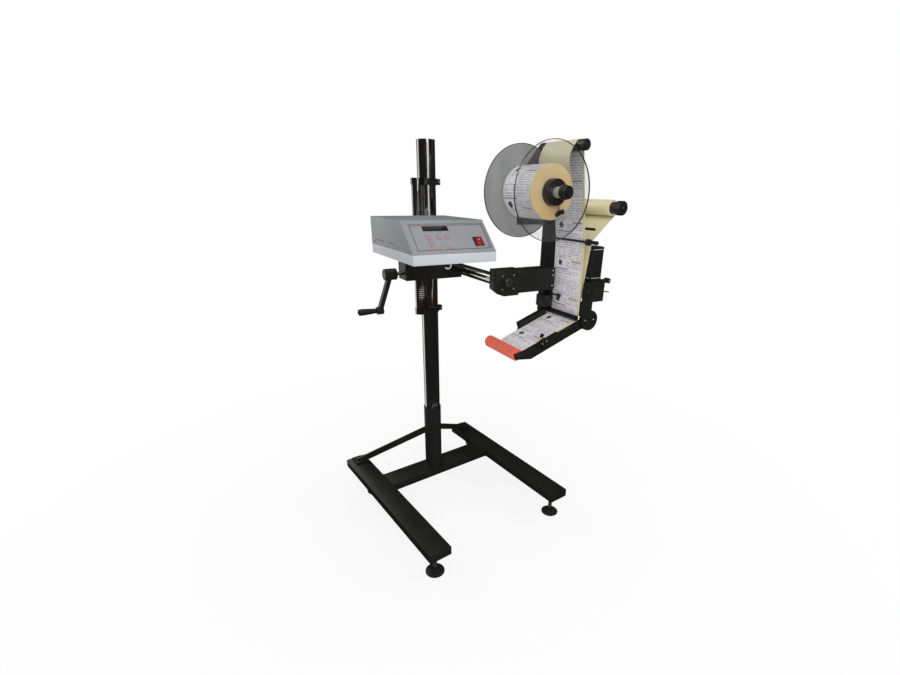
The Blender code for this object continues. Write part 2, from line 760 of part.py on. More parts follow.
def crank_pieces(machine):
    """Shaft, pinion and arm turn together; the grip spins on the arm's pin."""
    pinion_x = rack_centre()[0]
    centre = (crank_y(), CRANK_Z)
    pivot = (CRANK_HUB_RIGHT, *centre)
    shaft_left = CRANK_HUB_LEFT + HUB_FACE
    shaft_right = pinion_x + CRANK_SHAFT_END
    piece(
        "crank_shaft", rod("X", centre, CRANK_SHAFT_RADIUS, shaft_left, shaft_right, SMALL_STEPS),
        "steel", machine, pivot,
    )
    half = PINION_WIDTH / 2
    pinion = piece(
        "pinion_gear", prism("X", pinion_outline(centre), pinion_x - half, pinion_x + half),
        "steel", machine, pivot,
    )
    bore = CRANK_SHAFT_RADIUS + GAP
    shape_with(pinion, rod("X", centre, bore, pinion_x - half - OVERRUN, pinion_x + half + OVERRUN, SMALL_STEPS))
    crank_arm(machine, pivot, shaft_left)
    pin_end = grip_end() - GRIP_PIN_PROUD
    knuckle_left = CRANK_KNUCKLE[0] - CRANK_KNUCKLE_LENGTH / 2
    grip_start = knuckle_left - RUN_GAP
    inner = GRIP_PIN_RADIUS + GAP
    profile = [
        (inner, grip_start), (GRIP_NECK_RADIUS, grip_start),
        (GRIP_RADIUS, grip_start - GRIP_LENGTH * GRIP_SHOULDER_SHARE),
        (GRIP_RADIUS, grip_end() + GRIP_ROUND), (GRIP_RADIUS - GRIP_ROUND, grip_end()), (inner, grip_end()),
    ]
    knuckle = CRANK_KNUCKLE[1:]
    piece("crank_grip", turned("X", knuckle, profile, ring=True), "black_plastic", machine, CRANK_KNUCKLE)
    return pin_end


def grip_end():
    return CRANK_KNUCKLE[0] - CRANK_KNUCKLE_LENGTH / 2 - RUN_GAP - GRIP_LENGTH


def crank_arm(machine, pivot, shaft_left):
    """Hub, leaning arm, knuckle and the pin for the grip, made as one casting."""
    centre = pivot[1:]
    knuckle = CRANK_KNUCKLE[1:]
    hub_middle = (CRANK_HUB_LEFT + CRANK_HUB_RIGHT) / 2
    outline = belt_outline(centre, CRANK_ARM_HALF, knuckle, CRANK_ARM_HALF)
    bm = prism("X", outline, hub_middle - CRANK_ARM_THICK / 2, hub_middle + CRANK_ARM_THICK / 2)
    lean = (CRANK_KNUCKLE[0] - hub_middle) / (knuckle[1] - centre[1])
    for vert in bm.verts:
        vert.co.x += (vert.co.z - centre[1]) * lean
    arm = piece("crank_arm", bm, "black_paint", machine, pivot)
    hub = turned("X", centre, rounded_rod(CRANK_HUB_RADIUS, CRANK_HUB_LEFT, CRANK_HUB_RIGHT, HUB_ROUND))
    shape_with(arm, hub, "UNION")
    half = CRANK_KNUCKLE_LENGTH / 2
    round_knuckle = rod("X", knuckle, CRANK_KNUCKLE_RADIUS, CRANK_KNUCKLE[0] - half, CRANK_KNUCKLE[0] + half)
    shape_with(arm, round_knuckle, "UNION")
    pin = rod("X", knuckle, GRIP_PIN_RADIUS, grip_end() - GRIP_PIN_PROUD, CRANK_KNUCKLE[0], SMALL_STEPS)
    shape_with(arm, pin, "UNION")
    bore = rod("X", centre, CRANK_SHAFT_RADIUS + GAP, shaft_left - GAP, CRANK_HUB_RIGHT + OVERRUN, SMALL_STEPS)
    shape_with(arm, bore)


def rounded_rod(radius, low, high, edge):
    """Profile of a rod with both ends rounded off by a chamfer."""
    return [
        (0, low), (radius - edge, low), (radius, low + edge),
        (radius, high - edge), (radius - edge, high), (0, high),
    ]


def control_box(machine):
    """Tray, sloping cover, the panel in its window, display, rocker and seven keys."""
    right = BOX_LEFT + BOX_WIDTH
    rear = BOX_FRONT + BOX_DEPTH
    seam = BOX_LOW + BOX_BAND
    base = piece(
        "control_base", block((BOX_LEFT, BOX_FRONT, BOX_LOW), (right, rear, seam), BOX_EDGE),
        "panel_grey", machine,
    )
    hollow = block(
        (BOX_LEFT + BOX_WALL, BOX_FRONT + BOX_WALL, BOX_LOW + BOX_WALL),
        (right - BOX_WALL, rear - BOX_WALL, seam + OVERRUN),
    )
    shape_with(base, hollow)
    bottom = seam + GAP
    top = BOX_LOW + BOX_HEIGHT
    slope_top = BOX_FRONT + BOX_SLOPE_RUN
    slope = math.atan2(top - bottom, BOX_SLOPE_RUN)
    outer = [(BOX_FRONT, bottom), (rear, bottom), (rear, top), (slope_top, top)]
    cover_bm = prism("X", outer, BOX_LEFT, right)
    soften(cover_bm, BOX_EDGE)
    cover = piece("control_cover", cover_bm, "grey_paint", machine)
    inset_low = BOX_WALL / math.sin(slope)
    inset_high = BOX_WALL * math.tan(slope / 2)
    under = OVERRUN / math.tan(slope)
    inner = [
        (BOX_FRONT + inset_low - under, bottom - OVERRUN), (rear - BOX_WALL, bottom - OVERRUN),
        (rear - BOX_WALL, top - BOX_WALL), (slope_top + inset_high, top - BOX_WALL),
    ]
    for start, end in VENTS:
        slot = belt_outline((start, VENT_Z), VENT_HEIGHT / 2, (end, VENT_Z), VENT_HEIGHT / 2)
        shape_with(cover, prism("X", slot, BOX_LEFT - OVERRUN, BOX_LEFT + BOX_WALL + OVERRUN))
    panel_frame = empty("panel_frame", (BOX_LEFT, BOX_FRONT, bottom), (slope, 0, 0), machine)
    window = block(
        (PANEL_LEFT, PANEL_LOW, -BOX_WALL - OVERRUN), (PANEL_RIGHT, PANEL_HIGH, OVERRUN),
    )
    turn = panel_frame.rotation_euler.to_matrix().to_4x4()
    bmesh.ops.transform(window, matrix=Matrix.Translation(panel_frame.location) @ turn, verts=window.verts)
    shape_with(cover, window)
    shape_with(cover, prism("X", inner, BOX_LEFT + BOX_WALL, right - BOX_WALL))
    panel_pieces(panel_frame)


def panel_pieces(frame):
    face = -BOX_WALL - GAP
    back = face - PANEL_THICK
    panel = piece(
        "control_panel",
        block((PANEL_LEFT - PANEL_LIP, PANEL_LOW - PANEL_LIP, back),
              (PANEL_RIGHT + PANEL_LIP, PANEL_HIGH + PANEL_LIP, face)),
        "panel_grey", frame,
    )
    half_x = ROCKER_WIDTH / 2 + KEY_GAP
    half_y = ROCKER_LENGTH / 2 + ROCKER_CLEARANCE
    rim = block(
        (ROCKER_X - half_x - ROCKER_RIM, ROCKER_UP - half_y - ROCKER_RIM, back + KEY_GAP),
        (ROCKER_X + half_x + ROCKER_RIM, ROCKER_UP + half_y + ROCKER_RIM, face + ROCKER_RIM_PROUD),
    )
    shape_with(panel, rim, "UNION")
    hole = block(
        (ROCKER_X - half_x, ROCKER_UP - half_y, back - OVERRUN),
        (ROCKER_X + half_x, ROCKER_UP + half_y, face + ROCKER_RIM_PROUD + OVERRUN),
    )
    shape_with(panel, hole)
    seat = face - DISPLAY_DEPTH
    pocket = block((DISPLAY_LEFT, DISPLAY_LOW, seat), (DISPLAY_RIGHT, DISPLAY_HIGH, face + OVERRUN))
    shape_with(panel, pocket)
    piece(
        "display_window",
        block((DISPLAY_LEFT + GAP, DISPLAY_LOW + GAP, seat + GAP),
              (DISPLAY_RIGHT - GAP, DISPLAY_HIGH - GAP, face)),
        "display", frame,
    )
    hole_half = KEY_SIZE / 2 + KEY_GAP
    holes = bmesh.new()
    for x, y in KEY_CENTRES:
        outline = [
            (x - hole_half, y - hole_half), (x + hole_half, y - hole_half),
            (x + hole_half, y + hole_half), (x - hole_half, y + hole_half),
        ]
        prism("Z", outline, back - OVERRUN, face + OVERRUN, holes)
    shape_with(panel, holes)
    half = KEY_SIZE / 2
    top = face + KEY_PROUD
    for number, (x, y) in enumerate(KEY_CENTRES, 1):
        look = "key_green" if number == GREEN_KEY else "key_white"
        body = block((x - half, y - half, top - KEY_THICK), (x + half, y + half, top), KEY_EDGE)
        piece(f"key_{number}", body, look, frame, (x, y, top - KEY_THICK))
    rocker(frame, face)


def rocker(frame, face):
    """A rocker resting in its off position."""
    half = ROCKER_LENGTH / 2
    low = -ROCKER_DEPTH
    outline = [
        (-half, low), (half, low), (half, ROCKER_CROWN), (0, ROCKER_CROWN - ROCKER_DISH), (-half, ROCKER_CROWN),
    ]
    bm = prism("X", outline, ROCKER_X - ROCKER_WIDTH / 2, ROCKER_X + ROCKER_WIDTH / 2)
    bmesh.ops.rotate(bm, verts=bm.verts, cent=(0, 0, 0), matrix=Matrix.Rotation(ROCKER_TRAVEL, 3, "X"))
    pivot = (ROCKER_X, ROCKER_UP, face + ROCKER_PIVOT)
    bmesh.ops.translate(bm, verts=bm.verts, vec=(0, *pivot[1:]))
    piece("rocker_switch", bm, "red_plastic", frame, pivot)


def head_frame(machine):
    """The arm and the fixed metalwork that hangs on it."""
    arm_front = BLOCK_FRONT + BLOCK_FACE + GAP
    place = (ARM_X, ARM_Z)
    arm_pivot = (ARM_X, CARRIAGE_FRONT, ARM_Z)
    piece(
        "arm_rod", turned("Y", place, rounded_rod(ARM_RADIUS, arm_front, ARM_REAR, ROD_EDGE), BIG_STEPS),
        "chrome", machine, arm_pivot,
    )
    outline = [
        (BLOCK_LEFT + BLOCK_CHAMFER_X, BLOCK_LOW), (BLOCK_RIGHT, BLOCK_LOW), (BLOCK_RIGHT, BLOCK_HIGH),
        (BLOCK_LEFT, BLOCK_HIGH), (BLOCK_LEFT, BLOCK_LOW + BLOCK_CHAMFER_Z),
    ]
    clamp_bm = prism("Y", outline, BLOCK_FRONT, BLOCK_REAR)
    soften(clamp_bm, SMALL_EDGE)
    clamp = piece("clamp_block", clamp_bm, "black_paint", machine, (ARM_X, BLOCK_REAR, ARM_Z))
    shape_with(clamp, rod("Y", place, ARM_RADIUS + GAP, BLOCK_FRONT + BLOCK_FACE, BLOCK_REAR + OVERRUN, BIG_STEPS))
    piece(
        "bracket_plate",
        block((BLOCK_RIGHT + GAP, PLATE_FRONT, BLOCK_LOW), (BAR_LEFT - GAP, PLATE_REAR, PLATE_HIGH), SMALL_EDGE),
        "black_paint", machine,
    )
    bar = piece(
        "main_bar",
        block((BAR_LEFT, BAR_FRONT, BAR_LOW), (BAR_RIGHT, BAR_REAR, BAR_HIGH), SMALL_EDGE),
        "black_paint", machine,
    )
    pin = turned("Y", (PIN_X, PIN_Z), rounded_rod(PIN_RADIUS, PIN_FRONT, BAR_FRONT + OVERRUN, ROD_EDGE), SMALL_STEPS)
    shape_with(bar, pin, "UNION")
    sensor(machine)
    spool_arm(machine)
    rewind_bracket(machine)


def sensor(machine):
    right = BAR_LEFT - GAP
    body_bm = block((SENSOR_LEFT, SENSOR_FRONT, SENSOR_LOW), (right, SENSOR_REAR, SENSOR_HIGH), SMALL_EDGE)
    body = piece("sensor_box", body_bm, "black_plastic", machine)
    place = (SENSOR_ROD_X, SENSOR_ROD_Z)
    front = SENSOR_FRONT - SENSOR_REACH
    tip = front + SENSOR_TIP_LENGTH
    post_front = SENSOR_REAR - SMALL_EDGE - SENSOR_POST_LENGTH
    post = block(
        (SENSOR_ROD_X - SENSOR_POST_HALF, post_front, SENSOR_HIGH - OVERRUN),
        (SENSOR_ROD_X + SENSOR_POST_HALF, SENSOR_REAR - SMALL_EDGE, SENSOR_ROD_Z + SENSOR_POST_HALF),
    )
    shape_with(body, post, "UNION")
    profile = [
        (0, front), (SENSOR_TIP_RADIUS, front), (SENSOR_TIP_RADIUS, tip), (SENSOR_ROD_RADIUS, tip),
        (SENSOR_ROD_RADIUS, post_front + OVERRUN), (0, post_front + OVERRUN),
    ]
    shape_with(body, turned("Y", place, profile, SMALL_STEPS), "UNION")


def spool_arm(machine):
    """The plate behind the spool, from the main bar to the spool and the top roller."""
    front = ARM_PLATE_REAR - ARM_PLATE_THICK
    spool = (SPOOL_X, SPOOL_Z)
    roller = (ROLLER_X, ROLLER_Z)
    outline = belt_outline(spool, BOSS_RADIUS, roller, ROLLER_BOSS_RADIUS)
    plate = piece("spool_arm", prism("Y", outline, front, ARM_PLATE_REAR), "black_paint", machine)
    half = (BAR_HIGH - ARM_FOOT_LOW) / 2
    middle = ARM_FOOT_LOW + half
    right = BAR_LEFT - GAP
    strip = [(SPOOL_X, middle - half), (right, middle - half), (right, middle + half), (SPOOL_X, middle + half)]
    shape_with(plate, prism("Y", strip, front + SMALL_EDGE, ARM_PLATE_REAR - SMALL_EDGE), "UNION")
    hole = rod("Y", roller, ROLLER_STUB_RADIUS + GAP, front - OVERRUN, ARM_PLATE_REAR + OVERRUN, SMALL_STEPS)
    shape_with(plate, hole)
    groove = SPINDLE_END - KNOB_RING
    middle = groove - KNOB_GROOVE
    tip = middle - KNOB_TIP
    profile = [
        (0, front - GAP), (SPINDLE_RADIUS, front - GAP), (SPINDLE_RADIUS, SPINDLE_END),
        (KNOB_RADIUS - ROD_EDGE, SPINDLE_END), (KNOB_RADIUS, SPINDLE_END - ROD_EDGE),
        (KNOB_RADIUS, groove + ROD_EDGE), (KNOB_RADIUS - ROD_EDGE, groove), (KNOB_GROOVE_RADIUS, groove),
        (KNOB_GROOVE_RADIUS, middle), (KNOB_MIDDLE_RADIUS, middle), (KNOB_MIDDLE_RADIUS, tip + ROD_EDGE),
        (KNOB_MIDDLE_RADIUS - ROD_EDGE, tip), (KNOB_TIP_RADIUS, tip), (KNOB_TIP_RADIUS, tip - KNOB_GROOVE),
        (0, tip - KNOB_GROOVE),
    ]
    piece("spool_spindle", turned("Y", spool, profile), "chrome", machine, (SPOOL_X, front, SPOOL_Z))


def rewind_bracket(machine):
    """The plate right of the main bar, with the rod that the liner bends round."""
    front = ARM_PLATE_REAR - ARM_PLATE_THICK
    liner_rod = (LINER_ROD_X, LINER_ROD_Z)
    rewind = (REWIND_X, REWIND_Z)
    outline = belt_outline(liner_rod, LINER_BOSS_RADIUS, rewind, REWIND_BOSS_RADIUS)
    plate = piece("rewind_bracket", prism("Y", outline, front, ARM_PLATE_REAR), "black_paint", machine)
    left = BAR_RIGHT + GAP
    low = LINER_ROD_Z - LINER_BOSS_RADIUS
    foot_high = low + BRACKET_FOOT_HEIGHT
    strip = [(left, low), (LINER_ROD_X, low), (REWIND_X, REWIND_Z), (left, foot_high)]
    shape_with(plate, prism("Y", strip, front + SMALL_EDGE, ARM_PLATE_REAR - SMALL_EDGE), "UNION")
    profile = rounded_rod(LINER_ROD_RADIUS, LINER_ROD_FRONT, front + OVERRUN, ROD_EDGE)
    shape_with(plate, turned("Y", liner_rod, profile, SMALL_STEPS), "UNION")
    hole = rod("Y", rewind, JOURNAL_RADIUS + GAP, front - OVERRUN, ARM_PLATE_REAR + OVERRUN, SMALL_STEPS)
    shape_with(plate, hole)


def flanged_plate(left):
    """Outline of a head side plate: a wide top, a narrow neck and the round flange of the table hinge."""
    rise = math.asin((BAR_LOW - TABLE_Z) / FLANGE_DISC_RADIUS)
    meet = math.acos((PLATE_NECK_RIGHT - TABLE_X) / FLANGE_DISC_RADIUS)
    lobe = arc((TABLE_X, TABLE_Z), FLANGE_DISC_RADIUS, math.pi - rise, math.tau + meet)
    return [
        (left, HEAD_PLATE_HIGH), (left, BAR_LOW), *lobe, (PLATE_NECK_RIGHT, PLATE_HEAD_LOW),
        (PLATE_RIGHT, PLATE_HEAD_LOW), (PLATE_RIGHT, HEAD_PLATE_HIGH),
    ]


def drive_unit(machine):
    """Back plate, front plate, gearbox and motor of the liner drive."""
    back_rear = BAR_FRONT - GAP
    back_front = back_rear - REAR_PLATE_THICK
    back = piece(
        "back_plate", prism("Y", flanged_plate(BAR_LEFT), back_front, back_rear), "black_paint", machine,
    )
    front_rear = side_plate_front() - GAP
    front_front = front_rear - FRONT_PLATE_THICK
    front = piece(
        "front_plate", prism("Y", flanged_plate(FRONT_PLATE_LEFT), front_front, front_rear), "black_paint", machine,
    )
    hinge = (TABLE_X, TABLE_Z)
    drive = (DRIVE_X, DRIVE_Z)
    for plate, low, high in ((back, back_front, back_rear), (front, front_front, front_rear)):
        for place, radius in ((hinge, PIVOT_RADIUS), (drive, JOURNAL_RADIUS)):
            shape_with(plate, rod("Y", place, radius + GAP, low - OVERRUN, high + OVERRUN, SMALL_STEPS))
    for side in (-1, 1):
        middle = TABLE_X + SLOT_OFFSET * side
        rise = (SLOT_LENGTH - SLOT_WIDTH) / 2
        slot = belt_outline(
            (middle, TABLE_Z - rise), SLOT_WIDTH / 2, (middle, TABLE_Z + rise), SLOT_WIDTH / 2,
        )
        shape_with(front, prism("Y", slot, front_front - OVERRUN, front_rear + OVERRUN))
    tie = rod("Y", (TIE_X, TIE_Z), TIE_RADIUS, front_rear - OVERRUN, back_front - GAP, SMALL_STEPS)
    shape_with(front, tie, "UNION")
    gearbox_front = front_rear + GAP
    piece(
        "gearbox",
        block((GEARBOX_LEFT, gearbox_front, GEARBOX_LOW), (PLATE_RIGHT, GEARBOX_REAR, HEAD_PLATE_HIGH), SMALL_EDGE),
        "black_paint", machine,
    )
    left = MOTOR_RIGHT - MOTOR_SIZE
    motor_rear = GEARBOX_REAR - MOTOR_INSET
    motor_front = motor_rear - MOTOR_SIZE
    corner = MOTOR_CORNER
    outline = [
        (left + corner, motor_front), (MOTOR_RIGHT - corner, motor_front), (MOTOR_RIGHT, motor_front + corner),
        (MOTOR_RIGHT, motor_rear - corner), (MOTOR_RIGHT - corner, motor_rear), (left + corner, motor_rear),
        (left, motor_rear - corner), (left, motor_front + corner),
    ]
    piece("drive_motor", prism("Z", outline, HEAD_PLATE_HIGH + GAP, MOTOR_HIGH), "black_plastic", machine)


def side_plate_front():
    return WEB_FRONT - SIDE_PLATE_GAP - SIDE_PLATE_THICK


def spool_pieces(machine):
    """Hub, two clear discs and the label roll spin together on the fixed spindle."""
    place = (SPOOL_X, SPOOL_Z)
    pivot = (SPOOL_X, DISC_REAR_FACE, SPOOL_Z)
    rear_low = DISC_REAR_FACE - DISC_THICK
    front_high = WEB_FRONT - WEB_SIDE_GAP
    front_low = front_high - DISC_THICK
    hub_front = front_low - HUB_FACE_LENGTH
    bore = SPINDLE_RADIUS + GAP
    hub_rear = DISC_REAR_FACE + HUB_PROUD
    profile = [
        (bore, hub_rear), (HUB_RADIUS, hub_rear), (HUB_RADIUS, hub_front + ROD_EDGE),
        (HUB_RADIUS - ROD_EDGE, hub_front), (bore, hub_front),
    ]
    piece("spool_hub", turned("Y", place, profile, BIG_STEPS, ring=True), "black_plastic", machine, pivot)
    for name, low in (("disc_rear", rear_low), ("disc_front", front_low)):
        disc = tube("Y", place, DISC_RADIUS, HUB_RADIUS + GAP, low, low + DISC_THICK, BIG_STEPS)
        piece(name, disc, "clear_plastic", machine, pivot)
    roll = tube("Y", place, ROLL_RADIUS, CORE_RADIUS, WEB_FRONT, WEB_REAR, BIG_STEPS)
    piece("label_roll", roll, "roll_side", machine, pivot)


def roller_pieces(machine):
    """Rods and rollers that carry the web past the head."""
    front = ARM_PLATE_REAR - ARM_PLATE_THICK
    stub_end = ARM_PLATE_REAR - GAP
    place = (ROLLER_X, ROLLER_Z)
    profile = [
        (0, ROLLER_FRONT), (ROLLER_RADIUS - ROD_EDGE, ROLLER_FRONT), (ROLLER_RADIUS, ROLLER_FRONT + ROD_EDGE),
        (ROLLER_RADIUS, front - RUN_GAP), (ROLLER_STUB_RADIUS, front - RUN_GAP),
        (ROLLER_STUB_RADIUS, stub_end), (0, stub_end),
    ]
    piece("top_roller", turned("Y", place, profile), "black_plastic", machine, (ROLLER_X, front, ROLLER_Z))
    cap = GUIDE_FRONT + GUIDE_CAP_LENGTH
    start = BAR_FRONT - GAP
    profile = [
        (0, GUIDE_FRONT), (GUIDE_CAP_RADIUS, GUIDE_FRONT), (GUIDE_CAP_RADIUS, cap),
        (GUIDE_RADIUS, cap), (GUIDE_RADIUS, start), (0, start),
    ]
    piece("guide_rod", turned("Y", (GUIDE_X, GUIDE_Z), profile, SMALL_STEPS), "steel", machine)
    back_rear = BAR_FRONT - GAP
    back_front = back_rear - REAR_PLATE_THICK
    front_rear = side_plate_front() - GAP
    front_front = front_rear - FRONT_PLATE_THICK
    profile = [
        (0, front_front + GAP), (JOURNAL_RADIUS, front_front + GAP), (JOURNAL_RADIUS, front_rear + RUN_GAP),
        (DRIVE_RADIUS, front_rear + RUN_GAP), (DRIVE_RADIUS, back_front - RUN_GAP),
        (JOURNAL_RADIUS, back_front - RUN_GAP), (JOURNAL_RADIUS, back_rear - GAP), (0, back_rear - GAP),
    ]
    drive = piece(
        "drive_roller", turned("Y", (DRIVE_X, DRIVE_Z), profile), "black_rubber", machine,
        (DRIVE_X, back_front, DRIVE_Z),
    )
    place = (REWIND_X, REWIND_Z)
    cap = REWIND_FRONT + REWIND_CAP_LENGTH
    profile = [
        (0, REWIND_FRONT), (REWIND_CAP_RADIUS - ROD_EDGE, REWIND_FRONT), (REWIND_CAP_RADIUS, REWIND_FRONT + ROD_EDGE),
        (REWIND_CAP_RADIUS, cap), (REWIND_CORE_RADIUS, cap), (REWIND_CORE_RADIUS, front - RUN_GAP),
        (JOURNAL_RADIUS, front - RUN_GAP), (JOURNAL_RADIUS, stub_end), (0, stub_end),
    ]
    pivot = (REWIND_X, front, REWIND_Z)
    piece("rewind_reel", turned("Y", place, profile), "black_plastic", machine, pivot)
    roll = tube("Y", place, REWIND_ROLL_RADIUS, REWIND_CORE_RADIUS + GAP, WEB_FRONT, WEB_REAR)
    piece("liner_roll", roll, "liner", machine, pivot)
    return drive


def tangent_angle(one, one_radius, two, two_radius):
    """Angle on both circles at which a web that turns clockwise round them leaves one for two."""
    heading = math.atan2(two[1] - one[1], two[0] - one[0])
    return heading + math.acos((one_radius - two_radius) / math.dist(one, two))


def cross_tangent_angle(one, one_radius, two, two_radius):
    """The same for a web that turns clockwise round one and the other way round two."""
    heading = math.atan2(two[1] - one[1], two[0] - one[0])
    return heading + math.acos((one_radius + two_radius) / math.dist(one, two))


def ribbon(path, low, high):
    """A thin web along a path of (x, z) points."""
    left = []
    right = []
    for index, place in enumerate(path):
        before = Vector(path[max(index - 1, 0)])
        after = Vector(path[min(index + 1, len(path) - 1)])
        along = (after - before).normalized()
        side = Vector((-along.y, along.x)) * (WEB_THICK / 2)
        left.append(tuple(Vector(place) + side))
        right.append(tuple(Vector(place) - side))
    return prism("Y", left + right[::-1], low, high)


def bow(start, start_along, end, end_along):
    """Points of a smooth curve that leaves and arrives in the given directions."""
    first = Vector(start) + Vector(start_along) * BOW_START_HANDLE
    second = Vector(end) - Vector(end_along) * BOW_END_HANDLE
    points = []
    for index in range(1, BOW_STEPS):
        share = index / BOW_STEPS
        rest = 1 - share
        at = Vector(start) * rest ** 3 + first * 3 * rest ** 2 * share
        at += second * 3 * rest * share ** 2 + Vector(end) * share ** 3
        points.append(tuple(at))
    return points


def web_pieces(machine):
    """The label web down to the table and the liner from the drive to the rewind."""
    spool = (SPOOL_X, SPOOL_Z)
    roller = (ROLLER_X, ROLLER_Z)
    guide = (GUIDE_X, GUIDE_Z)
    turn_bar = turn_bar_place()
    round_roll = ROLL_RADIUS + WEB_LIFT + ROLL_WRAP_GAP
    round_roller = ROLLER_RADIUS + WEB_LIFT
    round_guide = GUIDE_RADIUS + WEB_LIFT
    round_turn = TURN_RADIUS + WEB_LIFT
    path = arc(spool, round_roll, BOW_START_ANGLE - ROLL_WRAP, BOW_START_ANGLE)
    start_along = (-math.sin(BOW_START_ANGLE), math.cos(BOW_START_ANGLE))
    end = on_circle(roller, round_roller, BOW_END_ANGLE)
    end_along = (math.sin(BOW_END_ANGLE), -math.cos(BOW_END_ANGLE))
    path += bow(path[-1], start_along, end, end_along)
    leave = tangent_angle(roller, round_roller, guide, round_guide)
    path += arc(roller, round_roller, BOW_END_ANGLE, leave)
    leave_guide = tangent_angle(guide, round_guide, turn_bar, round_turn)
    path += arc(guide, round_guide, leave, leave_guide)
    landing = Vector(on_circle(turn_bar, round_turn, leave_guide))
    last = Vector(path[-1])
    path.append(tuple(landing + (last - landing).normalized() * WEB_BREAK))
    piece("label_web", ribbon(path, WEB_FRONT, WEB_REAR), "label_paper", machine)
    drive = (DRIVE_X, DRIVE_Z)
    liner_rod = (LINER_ROD_X, LINER_ROD_Z)
    rewind = (REWIND_X, REWIND_Z)
    round_drive = DRIVE_RADIUS + WEB_LIFT
    round_rod = LINER_ROD_RADIUS + WEB_LIFT
    round_rewind = REWIND_ROLL_RADIUS + WEB_LIFT
    leave = tangent_angle(drive, round_drive, liner_rod, round_rod)
    first = on_circle(drive, round_drive, math.pi)
    path = [(first[0], first[1] - LINER_TAIL)]
    path += arc(drive, round_drive, math.pi, leave)
    cross = cross_tangent_angle(liner_rod, round_rod, rewind, round_rewind)
    path += arc(liner_rod, round_rod, leave, cross)
    path += arc(rewind, round_rewind, cross - math.pi, cross - math.pi + LINER_WRAP)
    piece("liner_web", ribbon(path, WEB_FRONT, WEB_REAR), "liner", machine)
    return leave_guide


def turn_bar_place():
    """The turn bar's place on the machine, from its place on the tilted table."""
    lean = math.cos(TABLE_SLOPE)
    drop = math.sin(TABLE_SLOPE)
    return (TABLE_X + TURN_X * lean - TURN_Z * drop, TABLE_Z + TURN_X * drop + TURN_Z * lean)


def table_pieces(machine, web_angle):
    """The peel table: side plate, plate with turn bar, its web and the wipe roller."""
    table = empty("table_frame", (TABLE_X, 0, TABLE_Z), (0, -TABLE_SLOPE, 0), machine)
    plate_rear_face = side_plate_front() + SIDE_PLATE_THICK
    outline = [
        (0, SIDE_LOW), (0, SIDE_NECK_HIGH), (SIDE_TALL_FROM, SIDE_NECK_HIGH), (SIDE_TALL_FROM, SIDE_TALL),
        (SIDE_TALL_TO, SIDE_TALL), (SIDE_TIP, SIDE_TIP_HIGH), (SIDE_TIP, SIDE_TIP_LOW), (SIDE_FRONT_LOW, SIDE_LOW),
    ]
    side = piece("side_plate", prism("Y", outline, side_plate_front(), plate_rear_face), "black_paint", table)
    boss = rod("Y", (0, 0), FLANGE_DISC_RADIUS, side_plate_front() + MERGE_STEP, plate_rear_face - MERGE_STEP)
    shape_with(side, boss, "UNION")
    stub_front = side_plate_front() - GAP - FRONT_PLATE_THICK
    shape_with(side, rod("Y", (0, 0), PIVOT_RADIUS, stub_front, side_plate_front() + OVERRUN, SMALL_STEPS), "UNION")
    wipe = (WIPE_X, WIPE_Z)
    journal_hole = rod(
        "Y", wipe, WIPE_JOURNAL_RADIUS + GAP, side_plate_front() - OVERRUN, plate_rear_face + OVERRUN, SMALL_STEPS,
    )
    shape_with(side, journal_hole)
    table_plate(table)
    table_web(table, web_angle)
    body_front = plate_rear_face + RUN_GAP
    profile = [
        (0, side_plate_front() - GAP), (WIPE_JOURNAL_RADIUS, side_plate_front() - GAP),
        (WIPE_JOURNAL_RADIUS, body_front), (WIPE_RADIUS - ROD_EDGE, body_front), (WIPE_RADIUS, body_front + ROD_EDGE),
        (WIPE_RADIUS, WIPE_REAR - ROD_EDGE), (WIPE_RADIUS - ROD_EDGE, WIPE_REAR), (0, WIPE_REAR),
    ]
    piece("wipe_roller", turned("Y", wipe, profile), "wipe_rubber", table, (WIPE_X, WIPE_REAR, WIPE_Z))


def table_top():
    return TURN_Z - TURN_RADIUS - WEB_LIFT - WEB_LIFT


def table_plate(table):
    """Plate with a rounded peel edge, turn bar and the rear arm that hangs it on its pivot."""
    front = WEB_FRONT - SIDE_PLATE_GAP + GAP
    arm_front = WEB_REAR + TABLE_ARM_GAP
    rear = arm_front + MERGE_STEP
    top = table_top()
    half = TABLE_THICK / 2
    nose = arc((TABLE_FRONT, top - half), half, math.pi / 2, math.pi * 3 / 2)
    outline = [*nose, (TABLE_BACK, top - TABLE_THICK), (TABLE_BACK, top)]
    plate = piece("table_plate", prism("Y", outline, front, rear), "steel", table)
    arm_rear = BAR_FRONT - GAP - REAR_PLATE_THICK - RUN_GAP
    far = (REAR_ARM_FRONT, top - half)
    arm_outline = belt_outline((0, 0), REAR_ARM_HALF, far, REAR_ARM_HALF)
    shape_with(plate, prism("Y", arm_outline, arm_front, arm_rear), "UNION")
    bar = [
        (REAR_ARM_FRONT, REAR_ARM_LOW), (REAR_ARM_THICK_FROM, REAR_ARM_LOW),
        (REAR_ARM_THICK_FROM, REAR_ARM_HIGH), (REAR_ARM_FRONT, REAR_ARM_HIGH),
    ]
    shape_with(plate, prism("Y", bar, arm_front + MERGE_STEP, REAR_ARM_REAR), "UNION")
    turn = (TURN_X, TURN_Z)
    lug = belt_outline((TURN_X, 0), TURN_RADIUS + GAP, turn, TURN_RADIUS)
    shape_with(plate, prism("Y", lug, arm_front + GAP, arm_rear - MERGE_STEP), "UNION")
    shape_with(plate, rod("Y", turn, TURN_RADIUS - MERGE_STEP, front, arm_rear - TURN_INSET), "UNION")
    pivot = rod("Y", (0, 0), PIVOT_RADIUS, arm_front + MERGE_STEP, BAR_FRONT - GAP - GAP, SMALL_STEPS)
    shape_with(plate, pivot, "UNION")


